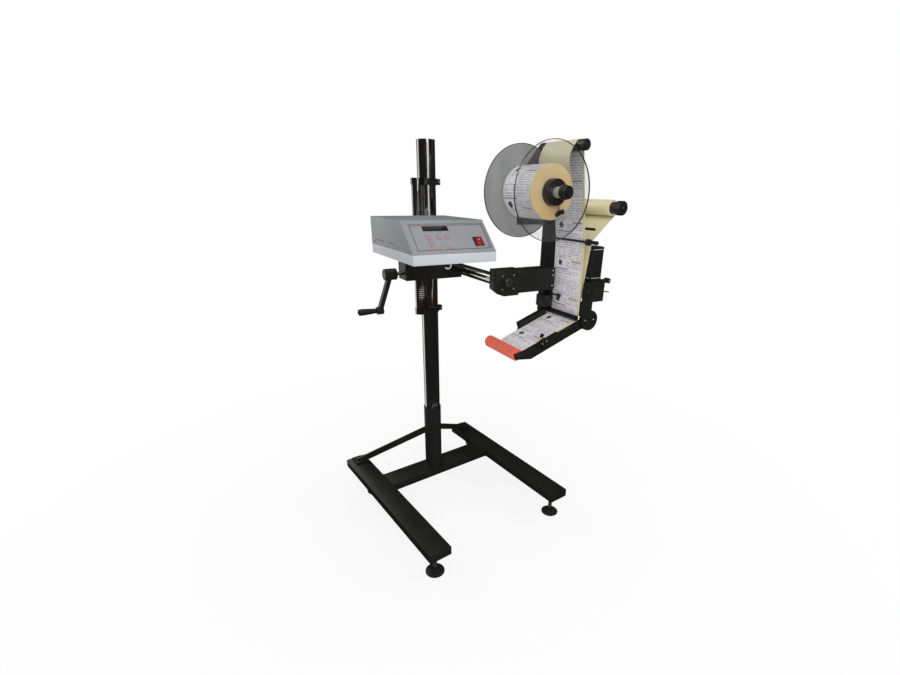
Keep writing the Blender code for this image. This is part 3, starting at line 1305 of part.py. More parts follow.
def table_web(table, web_angle):
    """The web from the turn bar over the plate, round its edge and back below."""
    top = table_top()
    half = TABLE_THICK / 2
    path = arc((TURN_X, TURN_Z), TURN_RADIUS + WEB_LIFT, web_angle - TABLE_SLOPE, -math.pi / 2)
    path += arc((TABLE_FRONT, top - half), half + WEB_LIFT, math.pi / 2, math.pi * 3 / 2)
    path.append((TABLE_WEB_END, top - TABLE_THICK - WEB_LIFT))
    piece("table_web", ribbon(path, WEB_FRONT, WEB_REAR), "label_paper", table)


def settle(machine):
    """Move the whole machine so that its origin is the middle of its footprint, on the floor."""
    bpy.context.view_layer.update()
    graph = bpy.context.evaluated_depsgraph_get()
    low = Vector((math.inf,) * 3)
    high = -low
    for item in bpy.context.scene.objects:
        if item.type != "MESH" or item.hide_render:
            continue
        solid = item.evaluated_get(graph)
        for vert in solid.data.vertices:
            at = solid.matrix_world @ vert.co
            low = Vector(map(min, low, at))
            high = Vector(map(max, high, at))
    middle = (low + high) / 2
    machine.location = (-middle.x, -middle.y, -low.z)


def main():
    clear_scene()
    machine = empty("machine")
    stand = empty("stand", turn=(0, 0, STAND_TURN), parent=machine)
    stand_pieces(stand)
    column_pieces(machine)
    carriage_pieces(machine)
    crank_pieces(machine)
    control_box(machine)
    head_frame(machine)
    drive_unit(machine)
    spool_pieces(machine)
    roller_pieces(machine)
    web_angle = web_pieces(machine)
    table_pieces(machine, web_angle)
    settle(machine)


main()
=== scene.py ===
"""Looks of a label applicator head on a floor stand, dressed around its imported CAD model.

Every piece sits where the CAD puts it, in metres, with +Z up. Each operator below makes one group
of pieces: it shows a smooth copy of each CAD node in its finish and adds the small fittings.
"""

import json
import math

import bmesh
import bpy
from bpy.props import FloatProperty, FloatVectorProperty, PointerProperty
from mathutils import Matrix, Vector
from mathutils.bvhtree import BVHTree

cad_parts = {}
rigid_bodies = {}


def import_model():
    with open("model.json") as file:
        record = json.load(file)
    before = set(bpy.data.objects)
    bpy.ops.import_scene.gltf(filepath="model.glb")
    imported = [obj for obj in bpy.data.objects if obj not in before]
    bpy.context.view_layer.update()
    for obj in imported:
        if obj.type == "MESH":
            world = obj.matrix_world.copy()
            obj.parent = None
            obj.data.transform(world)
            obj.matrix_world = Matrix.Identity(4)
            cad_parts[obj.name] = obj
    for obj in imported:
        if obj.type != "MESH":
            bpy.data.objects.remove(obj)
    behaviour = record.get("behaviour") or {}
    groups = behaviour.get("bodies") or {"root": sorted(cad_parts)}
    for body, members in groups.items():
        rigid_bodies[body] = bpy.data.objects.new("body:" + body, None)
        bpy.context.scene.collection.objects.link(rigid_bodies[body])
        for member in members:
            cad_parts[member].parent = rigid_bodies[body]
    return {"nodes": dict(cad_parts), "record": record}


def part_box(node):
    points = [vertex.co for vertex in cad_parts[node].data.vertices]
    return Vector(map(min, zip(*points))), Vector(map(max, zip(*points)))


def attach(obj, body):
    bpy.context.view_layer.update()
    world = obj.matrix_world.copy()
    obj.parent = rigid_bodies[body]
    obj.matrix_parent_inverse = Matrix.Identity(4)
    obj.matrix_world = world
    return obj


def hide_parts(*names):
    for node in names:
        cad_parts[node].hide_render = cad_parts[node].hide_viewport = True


bl_info = {
    "name": "Label applicator looks",
    "version": (1, 0, 0),
    "blender": (4, 5, 0),
    "location": "View3D > Sidebar > Applicator",
    "description": "Dresses the packed label applicator and its floor stand",
    "category": "Object",
}

for old in list(bpy.data.objects):
    bpy.data.objects.remove(old)

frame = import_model()
NODES = frame["nodes"]
BODY_OF = {node: body for body, group in frame["record"]["behaviour"]["bodies"].items() for node in group}
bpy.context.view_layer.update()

# Mesh tolerances
MERGE = 0.000001
FLAT = math.radians(0.5)
SMOOTH = math.radians(35.0)
BEVEL_FROM = math.radians(40.0)
ROUND_STEPS = 48
SMALL_STEPS = 24

# Camera, solved from the straight edges of the photograph
CAMERA_PLACE = (-0.765844, -1.480005, 1.2773)
CAMERA_HEADING = math.radians(30.47)
CAMERA_PITCH = math.radians(23.26)
CAMERA_ROLL = math.radians(1.09)
CAMERA_SENSOR = 36.0
CAMERA_LENS = 18.08
CAMERA_SHIFT = (-0.0324, 0.0550)

# Control box
SLOPE_RUN = 0.0813


class StageSettings(bpy.types.PropertyGroup):
    floor_size: FloatProperty(
        name="Floor size", description="Side of the pale floor", default=60.0, unit="LENGTH")
    floor_colour: FloatVectorProperty(
        name="Floor colour", description="Colour of the floor", default=(0.90, 0.90, 0.90),
        subtype="COLOR")
    room_light: FloatProperty(
        name="Room light", description="Strength of the even light from all round", default=0.50)
    key_power: FloatProperty(
        name="Key power", description="Power of the large lamp in front", default=75.0, unit="POWER")
    fill_power: FloatProperty(
        name="Fill power", description="Power of the lamp on the right", default=28.0, unit="POWER")
    back_power: FloatProperty(
        name="Back power", description="Power of the lamp behind", default=30.0, unit="POWER")
    card_distance: FloatProperty(
        name="Card distance", description="Radius of the ring of dark cards", default=0.80, unit="LENGTH")


class PaintSettings(bpy.types.PropertyGroup):
    black: FloatVectorProperty(
        name="Black", description="Satin black of the stand and the head", default=(0.0105, 0.0108, 0.0098),
        subtype="COLOR")
    cover: FloatVectorProperty(
        name="Cover grey", description="Paint of the control box's cover", default=(0.30, 0.305, 0.315),
        subtype="COLOR")
    band: FloatVectorProperty(
        name="Base grey", description="Paint of the control box's base", default=(0.60, 0.61, 0.65),
        subtype="COLOR")
    foil: FloatVectorProperty(
        name="Panel grey", description="Printed foil of the panel", default=(0.30, 0.31, 0.335),
        subtype="COLOR")
    chrome: FloatVectorProperty(
        name="Chrome", description="Polished tubes", default=(0.60, 0.60, 0.59), subtype="COLOR")
    red: FloatVectorProperty(
        name="Foam red", description="Foam of the wipe roller", default=(0.95, 0.13, 0.058),
        subtype="COLOR")


class PaperSettings(bpy.types.PropertyGroup):
    pitch: FloatProperty(
        name="Label pitch", description="Distance from one label to the next", default=0.120,
        unit="LENGTH")
    margin: FloatProperty(
        name="Liner margin", description="Liner that shows beside the labels", default=0.010,
        unit="LENGTH")
    paper: FloatVectorProperty(
        name="Label paper", description="Colour of the label paper", default=(0.98, 0.965, 1.0),
        subtype="COLOR")
    liner: FloatVectorProperty(
        name="Liner", description="Colour of the liner", default=(0.85, 0.80, 0.54), subtype="COLOR")
    edge: FloatVectorProperty(
        name="Roll side", description="Colour of the wound roll's side", default=(0.95, 0.74, 0.38),
        subtype="COLOR")


class TrimSettings(bpy.types.PropertyGroup):
    screw_radius: FloatProperty(
        name="Screw radius", description="Head radius of the larger screws", default=0.0045,
        unit="LENGTH")
    weld_radius: FloatProperty(
        name="Weld radius", description="Radius of a weld bead", default=0.0028, unit="LENGTH")


# Shader maths


class Signal:
    """An output socket. Sums, products and comparisons of signals add Math nodes."""

    def __init__(self, look, socket):
        self.look = look
        self.socket = socket

    def math(self, operation, *values):
        return self.look.node("ShaderNodeMath", {"operation": operation}, dict(enumerate(values)))

    def __add__(self, other):
        return self.math("ADD", self, other)

    def __sub__(self, other):
        return self.math("SUBTRACT", self, other)

    def __rsub__(self, other):
        return self.math("SUBTRACT", other, self)

    def __mul__(self, other):
        return self.math("MULTIPLY", self, other)

    def __truediv__(self, other):
        return self.math("DIVIDE", self, other)

    def __pow__(self, other):
        return self.math("POWER", self, other)

    def __gt__(self, other):
        return self.math("GREATER_THAN", self, other)

    def __lt__(self, other):
        return self.math("LESS_THAN", self, other)

    def __abs__(self):
        return self.math("ABSOLUTE", self)

    __radd__ = __add__
    __rmul__ = __mul__

    def floor(self):
        return self.math("FLOOR", self)

    def fraction(self):
        return self.math("FRACT", self)

    def root(self):
        return self.math("SQRT", self)

    def either(self, other):
        return self.math("MAXIMUM", self, other)


class Look:
    """A material and its node tree."""

    def __init__(self, name):
        self.material = bpy.data.materials.new(name)
        self.material.use_nodes = True
        self.tree = self.material.node_tree
        self.tree.nodes.clear()

    def node(self, kind, settings=None, values=None, output=0):
        made = self.tree.nodes.new(kind)
        for key, value in (settings or {}).items():
            if key == "stops":
                set_stops(made.color_ramp, value)
            else:
                setattr(made, key, value)
        for key, value in (values or {}).items():
            self.feed(made.inputs[key], value)
        return Signal(self, made.outputs[output])

    def feed(self, socket, value):
        if isinstance(value, Signal):
            self.tree.links.new(value.socket, socket)
        elif socket.type == "RGBA" and len(value) == 3:
            socket.default_value = (*value, 1.0)
        else:
            socket.default_value = value

    def place(self, scale=(1, 1, 1), move=(0, 0, 0), turn=(0, 0, 0), source="Object"):
        """Coordinates that are scaled, then turned, then moved."""
        at = self.node("ShaderNodeTexCoord", output=source)
        return self.node("ShaderNodeMapping", {}, {"Vector": at, "Location": move, "Rotation": turn,
                                                   "Scale": scale})

    def axes(self, vector):
        split = self.node("ShaderNodeSeparateXYZ", {}, {0: vector})
        outputs = split.socket.node.outputs
        return [Signal(self, outputs[axis]) for axis in range(3)]

    def point(self, x, y=0.0, z=0.0):
        return self.node("ShaderNodeCombineXYZ", {}, {0: x, 1: y, 2: z})

    def noise(self, scale, detail=2.0, vector=None, roughness=0.5):
        if vector is None:
            vector = self.place()
        values = {"Vector": vector, "Scale": scale, "Detail": detail, "Roughness": roughness}
        return self.node("ShaderNodeTexNoise", {}, values)

    def mix(self, factor, one, other):
        return self.node("ShaderNodeMix", {"data_type": "RGBA"}, {0: factor, 6: one, 7: other}, 2)

    def ramp(self, factor, stops):
        return self.node("ShaderNodeValToRGB", {"stops": stops}, {0: factor})

    def bump(self, height, distance, strength=1.0):
        values = {"Height": height, "Distance": distance, "Strength": strength}
        return self.node("ShaderNodeBump", {}, values)

    def surface(self, **sockets):
        """Ends the material in a Principled shader. A name's _ stands for a space."""
        values = {name.replace("_", " "): value for name, value in sockets.items()}
        shader = self.node("ShaderNodeBsdfPrincipled", {}, values)
        self.end(shader)
        return self.material

    def end(self, shader):
        output = self.tree.nodes.new("ShaderNodeOutputMaterial")
        self.tree.links.new(shader.socket, output.inputs["Surface"])


def set_stops(ramp, stops):
    while len(ramp.elements) < len(stops):
        ramp.elements.new(0.5)
    for element, (place, colour) in zip(ramp.elements, stops):
        element.position = place
        element.color = (*colour, 1.0)


def finish(make, *values):
    """The material that a function makes, made on first use."""
    name = "_".join([make.__name__, *map(str, values), "finish"])
    return bpy.data.materials.get(name) or make(name, *values)


def times(colour, factor):
    return tuple(channel * factor for channel in colour)


# Materials


def black_paint(name):
    """Satin powder coat: fine orange peel, faint rubbed patches and hairline scuffs."""
    look = Look(name)
    black = bpy.context.scene.applicator_paint.black
    peel = look.noise(620.0, 3.0)
    patches = look.noise(9.0, 4.0)
    scuffs = look.noise(26.0, 6.0, look.place(scale=(1.0, 1.0, 7.0)), 0.7) > 0.69
    colour = look.mix(patches, times(black, 0.75), times(black, 1.7))
    colour = look.mix(scuffs * 0.35, colour, (0.045, 0.045, 0.043))
    return look.surface(
        Base_Color=colour, Roughness=0.36 + patches * 0.16 - scuffs * 0.05,
        Normal=look.bump(peel, 0.00006), Specular_IOR_Level=0.26)


def cast_black(name):
    """Black enamel over a cast or milled block, glossier and with a coarser skin."""
    look = Look(name)
    black = bpy.context.scene.applicator_paint.black
    skin = look.noise(260.0, 5.0)
    patches = look.noise(18.0, 3.0)
    colour = look.mix(patches, times(black, 0.8), times(black, 2.0))
    return look.surface(
        Base_Color=colour, Roughness=0.30 + patches * 0.15, Normal=look.bump(skin, 0.00010),
        Specular_IOR_Level=0.32)


def black_plastic(name):
    """Moulded black plastic with a fine spark texture."""
    look = Look(name)
    spark = look.noise(1500.0, 2.0)
    wear = look.noise(40.0, 4.0)
    colour = look.mix(wear, (0.007, 0.007, 0.007), (0.017, 0.017, 0.017))
    return look.surface(
        Base_Color=colour, Roughness=0.28 + wear * 0.18, Normal=look.bump(spark, 0.00005))


def chrome(name):
    """Hard chrome on a ground tube: long fine draw lines and a few dull smears."""
    look = Look(name)
    tint = bpy.context.scene.applicator_paint.chrome
    lines = look.noise(1.0, 3.0, look.place(scale=(420.0, 420.0, 5.0)))
    smears = look.noise(7.0, 5.0, look.place(scale=(1.0, 1.0, 0.4)))
    colour = look.mix(smears, times(tint, 0.72), tint)
    return look.surface(
        Base_Color=colour, Metallic=1.0, Roughness=0.03 + smears * 0.06 + lines * 0.02,
        Normal=look.bump(lines, 0.00001))


def steel(name, axis):
    """Turned or brushed steel with lines round the given axis."""
    look = Look(name)
    fine = {"X": (900.0, 40.0, 40.0), "Y": (40.0, 900.0, 40.0), "Z": (40.0, 40.0, 900.0)}[axis]
    lines = look.noise(1.0, 3.0, look.place(scale=fine))
    patches = look.noise(35.0, 3.0)
    colour = look.mix(patches, (0.34, 0.34, 0.34), (0.52, 0.52, 0.52))
    return look.surface(
        Base_Color=colour, Metallic=1.0, Roughness=0.20 + lines * 0.16, Normal=look.bump(lines, 0.00002))


def dark_steel(name):
    """Blued steel of the guide rods and screws."""
    look = Look(name)
    patches = look.noise(60.0, 4.0)
    colour = look.mix(patches, (0.055, 0.055, 0.058), (0.15, 0.15, 0.15))
    return look.surface(
        Base_Color=colour, Metallic=0.85, Roughness=0.24 + patches * 0.16,
        Normal=look.bump(patches, 0.00003))


def bright_metal(name):
    """Zinc-plated screw heads."""
    look = Look(name)
    patches = look.noise(300.0, 3.0)
    colour = look.mix(patches, (0.55, 0.55, 0.54), (0.72, 0.72, 0.70))
    return look.surface(
        Base_Color=colour, Metallic=1.0, Roughness=0.24 + patches * 0.12,
        Normal=look.bump(patches, 0.00003))


def grey_paint(name, shade):
    """Light grey structure paint of the control box."""
    look = Look(name)
    base = getattr(bpy.context.scene.applicator_paint, shade)
    grain = look.noise(780.0, 4.0)
    patches = look.noise(6.0, 4.0)
    colour = look.mix(patches, times(base, 0.92), times(base, 1.08))
    colour = look.mix(grain * 0.12, colour, times(base, 0.72))
    return look.surface(
        Base_Color=colour, Roughness=0.38 + grain * 0.12, Normal=look.bump(grain, 0.00007))


def panel_place():
    """Turn and move that bring the panel's slope flat: x to the right, y up the slope, z out of it."""
    low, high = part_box("control_cover")
    slope = math.atan2(high.z - low.z, SLOPE_RUN)
    corner = Vector((low.x, low.y, low.z))
    return slope, corner


def on_panel(x, up, out=0.0):
    """A point of the sloped panel, from its lower left corner."""
    slope, corner = panel_place()
    along = Vector((0, math.cos(slope), math.sin(slope)))
    normal = Vector((0, -math.sin(slope), math.cos(slope)))
    return corner + Vector((x, 0, 0)) + along * up + normal * out


def inside(value, low, high):
    return (value > low) * (value < high)


def frame_line(x, up, low, high, width):
    """Mask of a rectangle's outline."""
    outer = inside(x, low[0], high[0]) * inside(up, low[1], high[1])
    inner = inside(x, low[0] + width, high[0] - width) * inside(up, low[1] + width, high[1] - width)
    return outer - inner


def panel_axes(look):
    """Signals for a point's place on the panel: to the right and up the slope."""
    slope, corner = panel_place()
    x, y, z = look.axes(look.place())
    right = x - corner.x
    up = (y - corner.y) * math.cos(slope) + (z - corner.z) * math.sin(slope)
    return right, up


PANEL_FRAME = ((0.0195, 0.0140), (0.2362, 0.0975))
PANEL_LINE = 0.0019
ROCKER_HOUSING = ((0.1915, 0.0215), (0.2200, 0.0525))


def panel_foil(name):
    """Grey foil with a printed frame line, and the black housing of the rocker."""
    look = Look(name)
    foil = bpy.context.scene.applicator_paint.foil
    right, up = panel_axes(look)
    grain = look.noise(1300.0, 2.0)
    patches = look.noise(12.0, 3.0)
    colour = look.mix(patches, times(foil, 0.94), times(foil, 1.06))
    line = frame_line(right, up, *PANEL_FRAME, PANEL_LINE)
    top = line * (up > PANEL_FRAME[1][1] - PANEL_LINE)
    colour = look.mix(line * 0.92, colour, (0.028, 0.031, 0.048))
    colour = look.mix(top * 0.6, colour, (0.22, 0.05, 0.05))
    low, high = ROCKER_HOUSING
    housing = inside(right, low[0], high[0]) * inside(up, low[1], high[1])
    colour = look.mix(housing, colour, (0.012, 0.012, 0.012))
    return look.surface(
        Base_Color=colour, Roughness=0.42 - housing * 0.12 + grain * 0.06,
        Normal=look.bump(grain, 0.00003))


def key_cap(name, shade):
    """Soft pale key with faint wear all over."""
    look = Look(name)
    base = {"pale": (0.34, 0.34, 0.37), "green": (0.33, 0.43, 0.36)}[shade]
    wear = look.noise(240.0, 3.0)
    colour = look.mix(wear, times(base, 0.93), times(base, 1.07))
    return look.surface(Base_Color=colour, Roughness=0.40 + wear * 0.1, Normal=look.bump(wear, 0.00003))


def key_ink(name):
    look = Look(name)
    wear = look.noise(500.0, 3.0)
    colour = look.mix(wear, (0.36, 0.07, 0.09), (0.50, 0.12, 0.15))
    return look.surface(Base_Color=colour, Roughness=0.45 + wear * 0.1)


def display_glass(name):
    """Dark green liquid crystal behind a clear window, with two rows of unlit cells."""
    look = Look(name)
    right, up = panel_axes(look)
    cell = (right * 260.0).fraction()
    row = (up * 150.0).fraction()
    cells = inside(cell, 0.12, 0.88) * inside(row, 0.14, 0.86)
    colour = look.mix(cells, (0.006, 0.010, 0.006), (0.010, 0.017, 0.009))
    return look.surface(Base_Color=colour, Roughness=0.16 + cells * 0.04, Specular_IOR_Level=0.25)


def red_plastic(name):
    look = Look(name)
    wear = look.noise(160.0, 3.0)
    colour = look.mix(wear, (0.34, 0.008, 0.010), (0.44, 0.014, 0.014))
    return look.surface(
        Base_Color=colour, Roughness=0.26 + wear * 0.12, Specular_IOR_Level=0.35,
        Normal=look.bump(wear, 0.00002))


def white_mark(name):
    look = Look(name)
    wear = look.noise(700.0, 2.0)
    colour = look.mix(wear, (0.60, 0.58, 0.56), (0.78, 0.76, 0.74))
    return look.surface(Base_Color=colour, Roughness=0.5)


DISC_ALPHA = {"disc_rear": 0.44, "disc_front": 0.08}


def clear_disc(name, node):
    """Smoky clear plastic with faint rubbed rings. The front disc is the clearer one."""
    look = Look(name)
    low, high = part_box("disc_front")
    centre = (low + high) / 2
    x, _, z = look.axes(look.place(move=(-centre.x, 0, -centre.z)))
    radius = (x * x + z * z).root()
    rings = look.noise(1.0, 4.0, look.point(radius * 260.0))
    scuffs = look.noise(14.0, 6.0, roughness=0.7)
    streaks = look.noise(1.0, 3.0, look.place(scale=(26.0, 26.0, 3.0))) * DISC_ALPHA[node]
    colour = look.mix(scuffs, (0.085, 0.088, 0.089), (0.135, 0.138, 0.138))
    alpha = scuffs * 0.06 + streaks * 0.5 + DISC_ALPHA[node]
    return look.surface(
        Base_Color=colour, Roughness=0.07 + rings * 0.05, Alpha=alpha, Specular_IOR_Level=0.12)


def disc_rim(name):
    """Sawn and polished edge of a disc, which gathers the dark."""
    look = Look(name)
    cut = look.noise(1.0, 3.0, look.place(scale=(300.0, 40.0, 300.0)))
    colour = look.mix(cut, (0.020, 0.021, 0.021), (0.060, 0.062, 0.062))
    return look.surface(Base_Color=colour, Roughness=0.22 + cut * 0.12, Alpha=0.92)


def roll_side(name):
    """Side of the wound roll: thin rings of paper edge, darker bands and an amber cast."""
    look = Look(name)
    edge = bpy.context.scene.applicator_paper.edge
    low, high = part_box("label_roll")
    centre = (low + high) / 2
    x, _, z = look.axes(look.place(move=(-centre.x, 0, -centre.z)))
    radius = (x * x + z * z).root()
    turns = look.noise(1.0, 6.0, look.point(radius * 1500.0))
    bands = look.noise(1.0, 3.0, look.point(radius * 90.0))
    cast = look.noise(11.0, 3.0)
    colour = look.mix(turns, times(edge, 0.86), times(edge, 1.12))
    colour = look.mix((bands > 0.57) * 0.28, colour, (0.86, 0.72, 0.42))
    amber = look.ramp(cast, [(0.42, (0, 0, 0)), (0.72, (1, 1, 1))])
    colour = look.mix(amber * 0.55, colour, (0.86, 0.38, 0.09))
    return look.surface(
        Base_Color=colour, Roughness=0.62 + turns * 0.15, Normal=look.bump(turns, 0.00012))


def cardboard(name):
    look = Look(name)
    fibre = look.noise(420.0, 5.0)
    colour = look.mix(fibre, (0.60, 0.48, 0.31), (0.74, 0.61, 0.42))
    return look.surface(Base_Color=colour, Roughness=0.85, Normal=look.bump(fibre, 0.00012))


def liner_paper(name):
    """Glazed cream backing paper with soft creases across the web."""
    look = Look(name)
    liner = bpy.context.scene.applicator_paper.liner
    along, across, _ = look.axes(look.place(source="UV"))
    fibre = look.noise(260.0, 5.0)
    waves = look.noise(1.0, 3.0, look.point(along * 26.0, across * 3.0))
    colour = look.mix(waves, times(liner, 0.88), times(liner, 1.08))
    colour = look.mix(fibre * 0.2, colour, times(liner, 0.82))
    return look.surface(
        Base_Color=colour, Roughness=0.36 + fibre * 0.14, Normal=look.bump(waves, 0.0006, 0.35))


# Printed label: places are shares of a label's length and width
LABEL_GAP_SHARE = 0.975
TEXT_ROWS = 17.0
TEXT_BLOCKS_SHARES = (
    ((0.04, 0.17), (0.05, 0.86)),
    ((0.24, 0.40), (0.44, 0.93)),
    ((0.48, 0.95), (0.48, 0.93)),
    ((0.78, 0.95), (0.05, 0.46)),
    ((0.46, 0.58), (0.05, 0.44)),
)
BAR_SHARES = ((0.415, 0.455), (0.60, 0.92))
BLOT_SHARES = (0.36, 0.22)
RING_SHARES = (0.64, 0.25)


def printed_paper(name):
    """Labels on their liner: rows of broken grey dashes, a green bar, a dark blot and a pale ring."""
    look = Look(name)
    paper = bpy.context.scene.applicator_paper
    low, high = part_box("label_roll")
    width = high.y - low.y
    along, across, _ = look.axes(look.place(source="UV"))
    step = along / paper.pitch
    index = step.floor()
    cell = step.fraction()
    side = across / width
    fibre = look.noise(420.0, 4.0)
    sheet = look.mix(fibre, times(paper.paper, 0.93), times(paper.paper, 1.05))

    row = cell * TEXT_ROWS
    words = look.noise(1.0, 3.0, look.point(side * 30.0, row.floor() * 5.3, index * 3.7)) > 0.45
    stroke = inside(row.fraction(), 0.30, 0.66) * words
    letters = look.noise(1.0, 1.0, look.point(side * 220.0, row * 2.2, 0.0))
    text = None
    for rows, columns in TEXT_BLOCKS_SHARES:
        block = inside(cell, *rows) * inside(side, *columns)
        text = block if text is None else text.either(block)
    text = text * stroke * (0.35 + letters * 0.65)
    colour = look.mix(text, sheet, (0.17, 0.16, 0.22))

    heading = inside(cell, 0.190, 0.216) * inside(side, 0.06, 0.52)
    colour = look.mix(heading * (0.5 + letters * 0.6), colour, (0.05, 0.05, 0.06))
    green = inside(cell, *BAR_SHARES[0]) * inside(side, *BAR_SHARES[1])
    colour = look.mix(green * 0.9, colour, (0.27, 0.33, 0.045))

    def spot(place, reach):
        run = (cell - place[0]) * (paper.pitch / width)
        rise = side - place[1]
        edge = look.noise(1.0, 4.0, look.point(cell * 22.0, side * 22.0, index * 2.1))
        return (run * run + rise * rise).root() + (edge - 0.5) * reach * 0.9

    blot = spot(BLOT_SHARES, 0.13) < 0.070
    colour = look.mix(blot * (0.75 + letters * 0.4), colour, (0.030, 0.030, 0.045))
    ring = abs(spot(RING_SHARES, 0.02) - 0.105) < 0.010
    colour = look.mix(ring * 0.35, colour, (0.20, 0.19, 0.26))

    label = (cell < LABEL_GAP_SHARE) * (across > 0.003) * (across < width - paper.margin)
    colour = look.mix(label, times(paper.liner, 1.02), colour)
    return look.surface(
        Base_Color=colour, Roughness=0.40 + fibre * 0.12 - text * 0.05,
        Normal=look.bump(label + fibre * 0.15, 0.00010))


FOAM_BORE = 0.0062


def foam_rubber(name):
    """Orange-red foam with open pores, on a black axle that shows beyond both ends."""
    look = Look(name)
    red = bpy.context.scene.applicator_paint.red
    low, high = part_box("wipe_roller")
    x, y, z = look.axes(look.place(move=(-(low.x + high.x) / 2, 0, -(low.z + high.z) / 2)))
    axle = (x * x + z * z).root() < FOAM_BORE
    pores = look.noise(520.0, 4.0)
    dents = look.noise(60.0, 4.0)
    colour = look.mix(pores, times(red, 0.80), times(red, 1.10))
    colour = look.mix(dents * 0.25, colour, (0.92, 0.26, 0.16))
    colour = look.mix(axle, colour, (0.012, 0.012, 0.012))
    return look.surface(
        Base_Color=colour, Roughness=0.72 + pores * 0.15, Normal=look.bump(pores + dents * 0.5, 0.00030),
        Sheen_Weight=0.2)


def foot_mix(name):
    """One foot: black moulded base below, zinc-plated stem and nut above."""
    look = Look(name)
    low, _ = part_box("foot_front_left")
    _, _, z = look.axes(look.place())
    stem = z > low.z + 0.0265
    thread = (z * 800.0).fraction()
    grain = look.noise(700.0, 3.0)
    colour = look.mix(stem, (0.014, 0.014, 0.014), (0.30, 0.30, 0.30))
    return look.surface(
        Base_Color=colour, Metallic=stem * 0.9, Roughness=0.42 - stem * 0.12 + grain * 0.1,
        Normal=look.bump(stem * abs(thread - 0.5) + grain * 0.1, 0.0005))


def spindle_mix(name):
    """The spindle: bright steel shaft behind, black plastic knob on its free end."""
    look = Look(name)
    low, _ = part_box("spool_spindle")
    _, y, _ = look.axes(look.place())
    knob = y < low.y + 0.0262
    lines = look.noise(1.0, 3.0, look.place(scale=(40.0, 900.0, 40.0)))
    colour = look.mix(knob, (0.86, 0.82, 0.73), (0.010, 0.010, 0.010))
    return look.surface(
        Base_Color=colour, Metallic=0.65 - knob * 0.65, Roughness=0.34 - knob * 0.1 + lines * 0.12,
        Normal=look.bump(lines, 0.00002))


def roller_mix(name, node, journal):
    """A roller: rubber or anodised body, with bright journals beyond its working length."""
    look = Look(name)
    low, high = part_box(node)
    _, y, _ = look.axes(look.place())
    ends = (y < low.y + journal).either(y > high.y - journal)
    lines = look.noise(1.0, 3.0, look.place(scale=(30.0, 600.0, 30.0)))
    colour = look.mix(ends, (0.014, 0.014, 0.014), (0.40, 0.40, 0.40))
    return look.surface(
        Base_Color=colour, Metallic=ends, Roughness=0.44 - ends * 0.18 + lines * 0.12,
        Normal=look.bump(lines, 0.00004))


# Mesh helpers


def merged(node, edge=0.0):
    """A merged copy of a CAD node's mesh, its flat faces whole again, its sharp edges broken."""
    bm = bmesh.new()
    bm.from_mesh(NODES[node].data)
    bmesh.ops.remove_doubles(bm, verts=bm.verts, dist=MERGE)
    bmesh.ops.dissolve_limit(bm, angle_limit=FLAT, verts=bm.verts, edges=bm.edges)
    if edge:
        soften(bm, edge)
    return bm


def soften(bm, width, segments=2, angle=BEVEL_FROM):
    sharp = [edge for edge in bm.edges if edge.calc_face_angle(0.0) > angle]
    bmesh.ops.bevel(
        bm, geom=sharp, offset=width, offset_type="OFFSET", affect="EDGES", segments=segments,
        profile=0.5, clamp_overlap=True, material=-1)


def piece(name, bm, look, body, node=None, outward=True):
    """An object at the origin with its place in its mesh, riding on a body."""
    if outward:
        bmesh.ops.recalc_face_normals(bm, faces=bm.faces)
    for face in bm.faces:
        face.smooth = True
    for edge in bm.edges:
        edge.smooth = edge.calc_face_angle(0.0) < SMOOTH
    mesh = bpy.data.meshes.new(name)
    bm.to_mesh(mesh)
    bm.free()
    shading = mesh.attributes.get("custom_normal")
    if shading:
        mesh.attributes.remove(shading)
    for one in look if isinstance(look, (list, tuple)) else [look]:
        mesh.materials.append(one)
    made = bpy.data.objects.new(name, mesh)
    bpy.context.scene.collection.objects.link(made)
    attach(made, body)
    if node:
        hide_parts(node)
    return made


def dress(node, look, edge=0.0):
    """Shows a smooth copy of a CAD node in its finish."""
    bm = merged(node, edge)
    for face in bm.faces:
        face.material_index = 0
    return piece(f"{node}_skin", bm, look, BODY_OF[node], node, outward=False)


def aimed(bm, place, direction=(0, 0, 1)):
    """Turns a shape's +Z to a direction and moves it to its place."""
    turn = Vector((0, 0, 1)).rotation_difference(Vector(direction)).to_matrix().to_4x4()
    bmesh.ops.transform(bm, matrix=Matrix.Translation(place) @ turn, verts=bm.verts)
    return bm


def spun(profile, steps=ROUND_STEPS, ring=False):
    """A profile of (radius, height) turned about Z."""
    bm = bmesh.new()
    points = [bm.verts.new((radius, 0, height)) for radius, height in profile]
    pairs = list(zip(points, points[1:]))
    if ring:
        pairs.append((points[-1], points[0]))
    edges = [bm.edges.new(pair) for pair in pairs]
    bmesh.ops.spin(
        bm, geom=points + edges, cent=(0, 0, 0), axis=(0, 0, 1), angle=math.tau, steps=steps,
        use_merge=True, use_duplicate=False)
    bmesh.ops.remove_doubles(bm, verts=bm.verts, dist=MERGE)
    return bm


def rod(radius, length, edge=0.0, steps=SMALL_STEPS):
    profile = [(0, 0), (radius - edge, 0), (radius, edge), (radius, length - edge),
               (radius - edge, length), (0, length)]
    if not edge:
        profile = [(0, 0), (radius, 0), (radius, length), (0, length)]
    return spun(profile, steps)


def block(size, edge=0.0, segments=2):
    """A box of the given size, centred on the origin, with broken edges."""
    bm = bmesh.new()
    bmesh.ops.create_cube(bm, size=1.0)
    bmesh.ops.scale(bm, vec=size, verts=bm.verts)
    if edge:
        soften(bm, edge, segments)
    return bm


def box_between(low, high, edge=0.0):
    low, high = Vector(low), Vector(high)
    return aimed(block(high - low, edge), (low + high) / 2)


